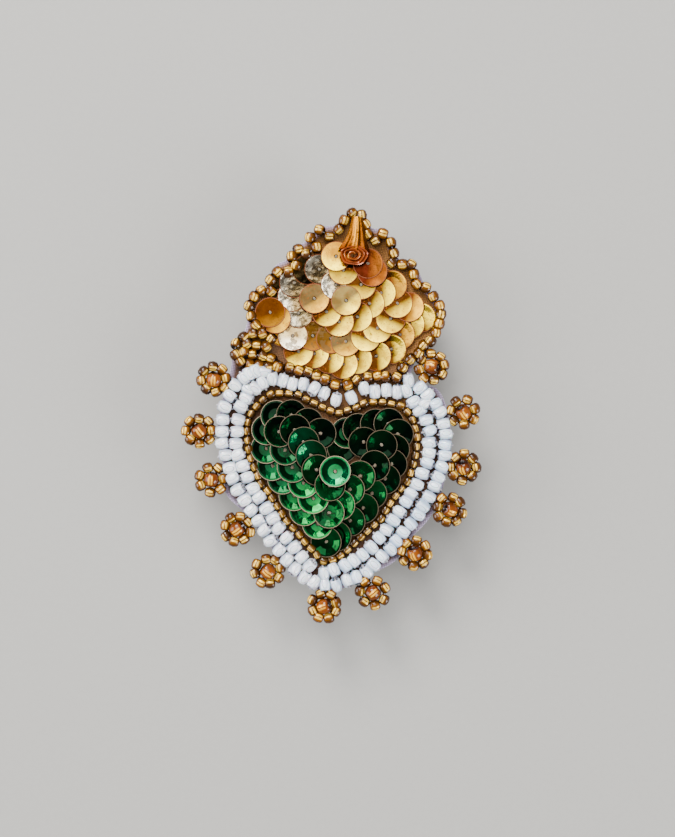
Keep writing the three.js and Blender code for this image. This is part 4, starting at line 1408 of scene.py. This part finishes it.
@dataclass
class GreenSpiral:
    """The chain of green cups, sewn clockwise from the cleft in to the middle of the heart."""
    chain: tuple[Point, ...] = (
        (-0.8, 6.9), (1.4, 7.9), (2.0, 10.8), (4.1, 11.8), (7.4, 13.0), (10.0, 13.4),
        (12.0, 11.5), (11.5, 8.5), (11.3, 5.6), (10.3, 2.6), (8.0, -0.5), (6.6, -3.5),
        (4.3, -6.2), (1.9, -9.4),
        (0.1, -10.7), (-1.9, -7.3), (-4.7, -5.0), (-7.0, -2.3), (-9.5, 0.7), (-11.8, 3.1),
        (-13.3, 6.3), (-13.5, 9.9), (-12.0, 12.8), (-9.0, 13.2), (-5.7, 11.9), (-3.0, 10.2),
        (5.5, 9.3), (9.0, 9.1), (8.0, 5.0), (5.4, 2.7), (3.6, -0.1), (2.0, -3.2), (0.1, -4.9),
        (-3.2, -2.4), (-5.4, 0.4), (-7.8, 3.2), (-9.5, 6.4), (-11.0, 9.8), (-8.0, 10.4),
        (-6.1, 8.2), (-4.4, 5.8), (-3.0, 3.1), (-0.2, 0.4), (0.5, 3.2),
    )
    outer: int = 26
    middle: int = 12
    form: SequinForm = SequinForm(6.1, 0.9, 1.5, 2.65, 0.38, 28, edge=0.12, faceted=True)
    lean: float = 10.0
    unlike: float = 1.4
    swing: float = 0.16
    outward: float = 1.0
    heart_middle: Point = (-0.7, 4.0)
    seat: float = 0.06
    gap: float = 0.085
    # Where the painted light and shade of the greens fall: the sky reflection, the shaded lobes,
    # the lit middle and the dimmer sides
    glint_from: Point = (-7.0, 5.0)
    glint_to: Point = (-2.0, 9.0)
    lobes: float = 7.5
    right_lobe: Point = (7.0, 4.5)
    bright_from: float = -7.5
    bright_to: float = 8.5

    def build(self) -> None:
        """Lay the chain and build its three turns."""
        chance = random.Random("green")
        laid: list[tuple[Laid, Tone]] = []
        for index, (x, y) in enumerate(self.chain):
            back = self.backward(index)
            if index >= self.outer:
                out = (Vector((x, y)) - Vector(self.heart_middle)).normalized()
                back = (back + out * self.outward).normalized()
            lean = math.radians(self.lean + chance.uniform(-self.unlike, self.unlike))
            toward = math.atan2(back.y, back.x) + chance.uniform(-self.swing, self.swing)
            sequin = Laid(x, y, 0.0, lean, toward, self.form)
            sequin.lay_over([other for other, _ in laid], CLOTH_TOP + self.seat, self.gap)
            laid.append((sequin, self.tone(x, y, index)))
        turns = (
            ("green_outer_sequins", "green_turn_outer", laid[:self.outer]),
            ("green_middle_sequins", "green_turn_middle",
             laid[self.outer:self.outer + self.middle]),
            ("green_centre_sequins", "green_turn_centre", laid[self.outer + self.middle:]),
        )
        for name, node, sequins in turns:
            SequinWork(name, node, "green_sequins").build(sequins)
        LOG.info("green spiral: highest rim %.2f mm", max(one.high for one, _ in laid))

    def backward(self, index: int) -> Vector:
        """The way back to the sequin before, in the plane."""
        here = Vector(self.chain[index])
        if index in (0, self.outer):
            return (here - Vector(self.chain[index + 1])).normalized()
        return (Vector(self.chain[index - 1]) - here).normalized()

    def tone(self, x: float, y: float, index: int) -> Tone:
        """Painted light and shade on one green foil: near black in the lobes, lit emerald below,
        dimmer at the sides, and teal as a painted sky reflection where the sky was caught.
        """
        low, high = self.glint_from, self.glint_to
        if index == len(self.chain) - 1 or (low[0] < x < high[0] and low[1] < y < high[1]):
            return Tone.TEAL
        if y > self.lobes or (x > self.right_lobe[0] and y > self.right_lobe[1]):
            return Tone.DEEP_GREEN
        return Tone.EMERALD if self.bright_from <= x <= self.bright_to else Tone.BOTTLE


@dataclass(frozen=True)
class Sewn:
    """One measured sequin of the flame: its middle, the side that it rises to, and its kind."""
    x: float
    y: float
    toward: float
    tone: Tone = Tone.YELLOW
    lean: float = 6.0


@dataclass
class FlameSequins:
    """The gold sequins of the flame, from the lowest up."""
    form: SequinForm = SequinForm(5.9, 0.85, 1.6, 2.6, 0.055, 28, edge=0.14, film=0.05)
    seat: float = 0.06
    gap: float = 0.1
    bottom: tuple[Sewn, ...] = (
        Sewn(14.2, 34.6, 10), Sewn(12.2, 33.1, 5), Sewn(10.5, 30.9, 5, Tone.COPPER),
        Sewn(9.1, 27.9, 10), Sewn(6.3, 26.3, -10), Sewn(2.7, 25.3, -15), Sewn(0.0, 24.1, -20),
        Sewn(-2.8, 24.9, -20), Sewn(-5.8, 25.6, -15), Sewn(-8.9, 25.7, -60),
        Sewn(-13.5, 38.1, 160, Tone.DARK), Sewn(-13.2, 34.6, 170, Tone.DARK),
        Sewn(-12.3, 29.2, 190, Tone.COPPER), Sewn(-11.1, 31.7, 175, Tone.DARK),
    )
    middle: tuple[Sewn, ...] = (
        # These two lie in painted shade
        Sewn(-6.4, 29.0, -60, Tone.BROWN), Sewn(-2.8, 28.8, -80, Tone.BROWN),
        Sewn(0.1, 28.5, -80, Tone.BRONZED), Sewn(3.9, 29.8, -110), Sewn(6.0, 31.7, -115),
        Sewn(8.4, 33.8, -110), Sewn(11.7, 36.4, -30, Tone.COPPER), Sewn(9.4, 36.9, -70),
        Sewn(-10.3, 28.6, -100, Tone.SILVERY), Sewn(-9.6, 33.1, 190, Tone.SILVERY),
        Sewn(-11.1, 36.2, 180, Tone.SILVERY), Sewn(-11.0, 38.9, 160, Tone.SILVERY),
        Sewn(-8.7, 41.7, 140, Tone.DARK), Sewn(-6.4, 42.0, 150, Tone.SILVERY),
    )
    inner: tuple[Sewn, ...] = (
        Sewn(8.0, 40.3, 10, Tone.COPPER), Sewn(6.0, 38.6, -15), Sewn(4.0, 36.3, -30),
        Sewn(1.9, 33.5, -35), Sewn(-1.6, 32.2, -45), Sewn(-4.2, 33.9, -60),
        Sewn(-6.8, 36.2, -70, Tone.BRONZED), Sewn(-2.9, 39.3, 200, Tone.SILVERY),
        Sewn(2.0, 39.8, -90), Sewn(-0.6, 36.4, -60, Tone.DUSTY), Sewn(-1.7, 42.3, -90),
        Sewn(3.9, 42.5, -40, Tone.RED), Sewn(2.9, 44.0, -10, Tone.RED),
        Sewn(-3.4, 44.8, -110, Tone.LEMON),
    )
    tab: tuple[Sewn, ...] = (
        Sewn(-13.9, 31.6, -60, Tone.COPPER), Sewn(-15.1, 32.7, -70, Tone.OLIVE_AMBER),
    )

    def build(self) -> None:
        """Lay the sequins one over the other and build the rows."""
        rows = (
            ("bottom", self.bottom, "gold_row_outer", "gold_sequins"),
            ("middle", self.middle, "gold_row_middle", "gold_sequins"),
            ("inner", self.inner, "gold_row_inner", "gold_sequins"),
            ("tab", self.tab, "side_tab_sequins", "amber_sequins"),
        )
        laid: list[Laid] = []
        for name, row, node, slot in rows:
            for sewn in row:
                sequin = Laid(sewn.x, sewn.y, 0.0, math.radians(sewn.lean),
                              math.radians(sewn.toward), self.form)
                sequin.lay_over(laid, CLOTH_TOP + self.seat, self.gap)
                laid.append(sequin)
            toned = list(zip(laid[-len(row):], (sewn.tone for sewn in row)))
            SequinWork(f"flame_{name}_sequins", node, slot).build(toned)
        LOG.info("flame: highest rim %.2f mm", max(one.high for one in laid))


# The flame's top

@dataclass
class FoldedTip:
    """Amber film folded into a pleated cone that lies along the tip."""
    foot: float = 46.2
    top: float = 52.7
    middle: float = -0.1
    halves: tuple[tuple[float, float], ...] = (
        (0.0, 2.85), (0.12, 2.5), (0.35, 1.85), (0.65, 1.35), (1.0, 0.95),
    )
    high: float = 0.75
    film: float = 0.07
    pleats: int = 9
    pleat_depth: float = 0.16
    bow: float = 0.25
    flatter: float = 0.25
    rows: int = 12
    # bright: the colour of the painted highlight up the cone's middle
    bright: Colour = seen(0.92, 0.62, 0.14)
    warm: Colour = seen(0.52, 0.30, 0.04)
    deep: Colour = seen(0.36, 0.14, 0.01)
    highlight_half: float = 0.7

    def build(self) -> None:
        """Build the cone and set it on the tip's node."""
        Bench.clear()
        bpy.ops.mesh.primitive_grid_add(x_subdivisions=self.pleats * 4,
                                        y_subdivisions=self.rows, size=1.0)
        tip = bpy.context.object
        tip.name = "folded_tip_film"
        self.shape(tip)
        with Bench.editing(tip):
            bpy.ops.mesh.select_all(action="SELECT")
            bpy.ops.mesh.remove_doubles(threshold=1e-6)
            bpy.ops.mesh.normals_make_consistent(inside=False)
        Bench.finish_with(tip, "SOLIDIFY", thickness=self.film * MM, offset=-1.0)
        Bench.finish_with(tip, "SUBSURF", levels=1, render_levels=1)
        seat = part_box("folded_tip")[0].z / MM + self.high * 0.9
        tip.data.transform(Matrix.Translation(framed(self.middle, self.foot, seat) * MM))
        end = framed(0.0, self.top, 0.0).y * MM
        foot = framed(0.0, self.foot, 0.0).y * MM
        middle = framed(self.middle, 0.0, 0.0).x * MM

        def shade(co: Vector) -> Colour:
            """Red at the foot, orange above it, with a painted highlight up the middle."""
            rise = (co.y - foot) / (end - foot)
            highlight = max(0.0, 1.0 - abs(co.x - middle) / (self.highlight_half * MM))
            plain = between(self.deep, self.warm, rise * 2.2)
            return between(plain, self.bright, highlight * min(1.0, rise * 2.5))

        Bench.tint(tip, shade)
        Bench.soften(tip, 60.0)
        Bench.dress(tip, Finish.AMBER_FILM.material())
        hand_over(tip, BROOCH, "amber_sequins", "folded_tip")

    def shape(self, tip: bpy.types.Object) -> None:
        """Roll the sheet into a pleated tube along Y and narrow it to the top."""
        length = self.top - self.foot
        for point in tip.data.vertices:
            share = point.co.y + 0.5
            angle = 2 * math.pi * (point.co.x + 0.5)
            pleat = 1 + self.pleat_depth * math.cos(self.pleats * angle) * (1.1 - 0.4 * share)
            wide = self.half(share) * pleat * MM
            tall = self.high * (1 - self.flatter * share) * pleat * MM
            bow = self.bow * MM * math.sin(math.pi * share)
            point.co = Vector((math.cos(angle) * wide + bow, share * length * MM,
                               math.sin(angle) * tall))

    def half(self, share: float) -> float:
        """Half its width at this share of its length."""
        for (start, wide), (end, narrow) in zip(self.halves, self.halves[1:]):
            if share <= end:
                return wide + (narrow - wide) * (share - start) / (end - start)
        return self.halves[-1][1]


@dataclass
class Rosette:
    """Dark amber film coiled into a small rose under the tip, its edge turned outwards."""
    x: float = -0.1
    y: float = 45.2
    seat: float = 12.45
    turns: float = 3.1
    steps: int = 62
    start: float = 0.2
    wide: float = 2.35
    squash: float = 0.62
    tall: float = 1.15
    flare: float = 0.62
    droop: float = 0.6
    film: float = 0.09
    begin: float = 0.6
    crowding: float = 0.85
    waves: int = 5
    wave: float = 0.07
    warm: Colour = seen(0.72, 0.40, 0.15)
    # deep: the painted shade down in the folds
    deep: Colour = seen(0.48, 0.15, 0.03)

    def build(self) -> None:
        """Build the coil and set it on the rosette's node."""
        rose = self.coil()
        rose.name = "tip_rosette_film"
        rose.data.transform(Matrix.Translation(framed(self.x, self.y, self.seat) * MM))

        def shade(co: Vector) -> Colour:
            """Painted shade: darker down in the folds."""
            rise = (co.z - self.seat * MM) / (self.tall * MM)
            return between(self.deep, self.warm, rise * 1.5 - 0.25)

        Bench.tint(rose, shade)
        Bench.dress(rose, Finish.ROSE_FILM.material())
        hand_over(rose, BROOCH, "amber_sequins", "tip_rosette")

    def coil(self) -> bpy.types.Object:
        """A standing ribbon wound outwards from the middle, its upper edge turned out."""
        line = bpy.data.curves.new("coil", "CURVE")
        line.dimensions = "2D"
        line.fill_mode = "NONE"
        line.extrude = self.tall / 2 * MM
        spline = line.splines.new("POLY")
        spline.points.add(self.steps)
        for number, knot in enumerate(spline.points):
            knot.co = (*(self.spot(number / self.steps) * MM), 1.0)
        ribbon = bpy.data.objects.new("coil", line)
        bpy.context.scene.collection.objects.link(ribbon)
        Bench.take(ribbon)
        bpy.ops.object.convert(target="MESH")
        ribbon = bpy.context.object
        ribbon.data.transform(Matrix.Translation((0.0, 0.0, self.tall / 2 * MM)))
        with Bench.editing(ribbon, "EDGE"):
            bpy.ops.mesh.select_all(action="SELECT")
            bpy.ops.mesh.subdivide(number_cuts=1)
        for point in ribbon.data.vertices:
            out = Vector((point.co.x, point.co.y / self.squash ** 2, 0.0))
            reach = min(1.0, out.length / (self.wide * MM))
            rise = point.co.z / (self.tall * MM)
            point.co.z *= 1.0 - self.droop * reach
            point.co += out.normalized() * self.flare * rise ** 2 * (0.45 + 0.55 * reach) * MM
        Bench.finish_with(ribbon, "SOLIDIFY", thickness=self.film * MM, offset=0.0)
        Bench.soften(ribbon, 50.0)
        return ribbon

    def spot(self, share: float) -> Vector:
        """Place on the coil at this share of its length."""
        angle = 2 * math.pi * self.turns * share + self.begin
        radius = self.start + (self.wide - self.start) * share ** self.crowding
        radius *= 1 + self.wave * math.sin(self.waves * angle)
        return Vector((radius * math.cos(angle), radius * self.squash * math.sin(angle), 0.0))


# Cloth

@dataclass
class BackedCloth:
    """The stiff woven base that everything is sewn on, and the felt behind it.

    Inside its bare margin the cloth carries painted light and shade: a painted golden glow above
    the flame's foot, and painted dark shade below it.
    """
    edge: Route = Route((
        (14.2, 22.4), (18.4, 21.9), (20.9, 19.2), (22.6, 14.0), (23.2, 9.0), (22.6, 4.2),
        (21.8, -0.9), (19.8, -5.2), (16.5, -9.4), (14.3, -13.6), (10.2, -16.4), (6.6, -19.1),
        (3.0, -20.5), (0.0, -20.8), (-3.2, -19.8), (-6.5, -17.6), (-9.7, -14.7), (-13.0, -11.0),
        (-16.4, -7.3), (-20.6, -3.9), (-21.5, 0.4), (-22.9, 5.4), (-23.7, 10.0), (-23.4, 14.6),
        (-22.6, 18.4), (-22.3, 21.3), (-22.1, 24.0), (-21.6, 26.8), (-20.2, 29.2), (-19.8, 32.8),
        (-18.9, 36.2), (-16.2, 38.2), (-15.6, 42.1), (-13.2, 43.9), (-11.8, 46.2), (-9.2, 48.4),
        (-6.5, 50.9), (-4.4, 51.5), (-2.5, 52.9), (-0.2, 53.8), (1.8, 52.9), (3.2, 51.6),
        (5.2, 51.6), (7.4, 49.2), (8.6, 46.4), (11.8, 45.3), (13.7, 43.3), (15.0, 41.0),
        (17.3, 38.6), (18.5, 35.6), (18.1, 31.8), (16.6, 28.6), (14.4, 25.6),
    ), closed=True)
    steps: int = 4
    cloth_inset: float = 0.55
    cloth_round: float = 0.0001
    felt_inset: float = 0.95
    felt_round: float = 0.00035
    margin: float = 1.0
    # Painted dark shade in the heart, and a painted golden glow in the flame
    shaded: Colour = (0.19, 0.09, 0.025)
    painted_glow: Colour = (0.60, 0.27, 0.01)
    flame_foot: float = 21.6

    def build(self) -> None:
        """Build both layers, each cut from the same edge."""
        cloth = self.layer("woven_base_cloth", "woven_base", self.cloth_inset, self.cloth_round)
        self.shade_middle(cloth)
        Bench.dress(cloth, Finish.CLOTH.material())
        hand_over(cloth, BROOCH, "woven_mesh", "woven_base")
        felt = self.layer("felt_backing_cloth", "felt_backing", self.felt_inset, self.felt_round)
        Bench.dress(felt, Finish.FELT.material())
        hand_over(felt, BROOCH, "felt", "felt_backing")
        self.declare(self.felt_inset)
        self.declare(self.cloth_inset)

    def declare(self, inset: float) -> None:
        """Work out the line that a layer is cut along; nothing is done with it.

        Args:
            inset: how far inside the edge it is cut, in millimetres.
        """
        line = self.outline(inset)

    def outline(self, inset: float) -> list[Vector]:
        """The line that a layer is cut along, this far inside the edge."""
        line = self.edge.samples(self.steps)
        side = 1.0 if self.turned(line) > 0 else -1.0
        cut = []
        for before, here, after in zip([line[-1], *line], line, [*line[1:], line[0]]):
            step = after - before
            cut.append(here + Vector((-step.y, step.x)).normalized() * inset * side)
        return cut

    def layer(self, name: str, node: str, inset: float, round_off: float) -> bpy.types.Object:
        """Cut one layer.

        Args:
            name: the piece's name.
            node: the plain node whose lower and upper side it takes.
            inset: how far inside the edge it is cut, in millimetres.
            round_off: how far its edges are rounded, in metres.

        Returns:
            The layer.
        """
        low, high = (corner.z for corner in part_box(node))
        line = self.outline(inset)
        Bench.clear()
        bpy.ops.mesh.primitive_circle_add(vertices=len(line), radius=1.0, fill_type="NGON")
        layer = bpy.context.object
        layer.name = name
        for point, place in zip(layer.data.vertices, line):
            point.co = framed(place.x, place.y, 0.0) * MM
            point.co.z = low
        with Bench.editing(layer):
            bpy.ops.mesh.select_all(action="SELECT")
            bpy.ops.mesh.normals_make_consistent(inside=False)
            bpy.ops.mesh.extrude_region_move(
                TRANSFORM_OT_translate={"value": (0.0, 0.0, high - low)},
            )
            bpy.ops.mesh.select_all(action="SELECT")
            bpy.ops.mesh.normals_make_consistent(inside=False)
        Bench.finish_with(layer, "BEVEL", width=round_off, segments=2, limit_method="ANGLE",
                          angle_limit=math.radians(60))
        Bench.soften(layer, 50.0)
        return layer

    def shade_middle(self, cloth: bpy.types.Object) -> None:
        """Paint dark shade on the cloth in the heart and a golden glow of painted light in the
        flame, and leave its bare margin light.
        """
        top = max(point.co.z for point in cloth.data.vertices)
        Bench.pick_faces(cloth, lambda face: face.normal.z > 0.9 and face.center.z > top - 1e-6)
        with Bench.editing(cloth):
            bpy.ops.mesh.inset(thickness=self.margin * MM, use_even_offset=False)
        inside = {index for face in cloth.data.polygons if face.select for index in face.vertices}
        Bench.tint(cloth, lambda co: WHITE)
        foot = framed(0.0, self.flame_foot, 0.0).y * MM
        for index in inside:
            # Painted golden glow above the flame's foot, painted dark shade below it
            shade = self.painted_glow if cloth.data.vertices[index].co.y > foot else self.shaded
            cloth.data.color_attributes["tint"].data[index].color = (*shade, 1.0)

    @staticmethod
    def turned(line: Sequence[Vector]) -> float:
        """The area inside a closed line, below zero where it runs clockwise."""
        return 0.5 * sum(a.x * b.y - b.x * a.y for a, b in zip(line, [*line[1:], line[0]]))


# The pin on the back

@dataclass
class Finding:
    """The bar, hinge, pin stem and turning catch, and the thread that holds the bar."""
    metal: tuple[str, ...] = ("pin_bar", "hinge_rivet", "pin_stem", "catch_housing",
                              "catch_roller")
    stitches: tuple[str, ...] = ("stitch_hinge_end", "stitch_middle", "stitch_catch_end")
    thread: float = 0.13
    strands: int = 4
    drift: float = 0.2
    clear: float = 0.1
    sunk: float = 0.35
    slack: float = 0.25

    def build(self) -> None:
        """Dress the metal pieces and wind the stitches."""
        for name in self.metal:
            Bench.dress(bpy.data.objects[name], Finish.STEEL.material())
            LOG.info("%s: dressed", name)
        for name in self.stitches:
            self.stitch(name)

    def stitch(self, name: str) -> None:
        """Wind one stitch over the bar, from felt to felt."""
        chance = random.Random(name)
        low, high = (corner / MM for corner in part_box(name))
        near, far = (corner.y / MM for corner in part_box("pin_bar"))
        outer = low.z + self.thread + self.clear
        runs = []
        for strand in range(self.strands):
            share = strand / (self.strands - 1)
            x = low.x + self.thread + share * (high.x - low.x - 2 * self.thread)
            drift = chance.uniform(-self.drift, self.drift)
            over = Vector((x - drift * 0.4, (near + far) / 2, outer - 0.03 * (strand % 2)))
            points = [*self.leg(x, drift, low.y, near, outer, 1), over,
                      *reversed(self.leg(x, -drift, high.y, far, outer, -1))]
            runs.append(tube(points, self.thread, 8))
        piece = Bench.joined(runs, f"{name}_thread")
        Bench.dress(piece, Finish.THREAD.material())
        hand_over(piece, BROOCH, "sewing_thread", name)

    def leg(self, x: float, drift: float, end: float, edge: float, outer: float,
            way: int) -> list[Vector]:
        """One side of a strand, from inside the felt up and over the edge of the bar.

        Args:
            x: where it lies along the bar.
            drift: how far aside it goes into the felt.
            end: where the stitch ends across the bar.
            edge: the bar's edge.
            outer: the height at which it crosses the bar.
            way: 1 towards larger Y, -1 towards smaller.

        Returns:
            Its points, in the frame's millimetres.
        """
        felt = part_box("felt_backing")[0].z / MM
        return [
            Vector((x + drift, end + way * 0.15, felt + self.sunk)),
            Vector((x + drift, end + way * 0.2, felt - self.slack)),
            Vector((x, edge - way * 0.1, outer + self.clear)),
            Vector((x, edge + way * 0.5, outer)),
        ]


# Studio

@dataclass(frozen=True)
class Softbox:
    """A square lamp that looks at the brooch, in metres."""
    name: str
    place: tuple[float, float, float]
    size: float
    power: float
    colour: Colour


@dataclass
class Studio:
    """The floor, the lamps and the camera.

    The camera hangs far over a plane just above the cloth, the one that the photo's scale was
    measured in, and looks straight down on the place that it aims at.
    """
    lamps: tuple[Softbox, ...] = (
        Softbox("sky_lamp", (-0.10, 0.34, 0.95), 0.62, 8.0, (0.98, 0.99, 1.0)),
        Softbox("key_lamp", (-0.30, 0.62, 0.55), 0.34, 11.0, (1.0, 0.98, 0.95)),
        Softbox("left_lamp", (-0.76, -0.05, 0.32), 0.55, 9.0, (0.96, 0.98, 1.0)),
        Softbox("right_lamp", (0.68, -0.36, 0.32), 0.4, 8.5, (0.97, 0.99, 1.0)),
    )
    floor_size: float = 3.0
    room: float = 0.5
    room_colour: Colour = (0.93, 0.95, 1.0)
    tilt: float = 5.6
    aim: Point = (-0.04, 13.41)
    plane: float = 0.7
    far: float = 385.4
    lens: float = 85.0
    film_width: float = 36.0

    def build(self) -> None:
        """Set up floor, lamps, room light and camera."""
        Bench.clear()
        bpy.ops.mesh.primitive_grid_add(x_subdivisions=8, y_subdivisions=8, size=self.floor_size)
        floor = bpy.context.object
        floor.name = "floor"
        Bench.dress(floor, Finish.FLOOR.material())
        for lamp in self.lamps:
            self.light(lamp)
        world = bpy.data.worlds.new("room")
        world.use_nodes = True
        background = world.node_tree.nodes["Background"]
        background.inputs["Color"].default_value = (*self.room_colour, 1.0)
        background.inputs["Strength"].default_value = self.room
        bpy.context.scene.world = world
        self.camera()

    @staticmethod
    def light(lamp: Softbox) -> None:
        """Hang one lamp, looking at the brooch."""
        light = bpy.data.lights.new(lamp.name, "AREA")
        light.size = lamp.size
        light.energy = lamp.power
        light.color = lamp.colour
        holder = bpy.data.objects.new(lamp.name, light)
        bpy.context.scene.collection.objects.link(holder)
        holder.location = lamp.place
        holder.rotation_euler = (-Vector(lamp.place)).to_track_quat("-Z", "Y").to_euler()

    def camera(self) -> None:
        """Look straight down on the brooch, turned as in the photograph."""
        lens = bpy.data.cameras.new("camera")
        lens.lens = self.lens
        lens.sensor_width = self.film_width
        lens.clip_start = 0.01
        holder = bpy.data.objects.new("camera", lens)
        bpy.context.scene.collection.objects.link(holder)
        holder.location = framed(*self.aim, CLOTH_TOP + self.plane + self.far) * MM
        holder.rotation_euler = (0.0, 0.0, math.radians(self.tilt))
        bpy.context.scene.camera = holder


def main() -> None:
    """Build the brooch from the cloth up, and report each piece."""
    logging.basicConfig(level=logging.INFO, format="%(name)s: %(message)s")
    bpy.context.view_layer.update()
    Studio().build()
    BackedCloth().build()
    HeartBand().build()
    Florets().build()
    GreenSpiral().build()
    FlameBeads().build()
    FlameSequins().build()
    FoldedTip().build()
    Rosette().build()
    Finding().build()


if __name__ == "__main__":
    main()
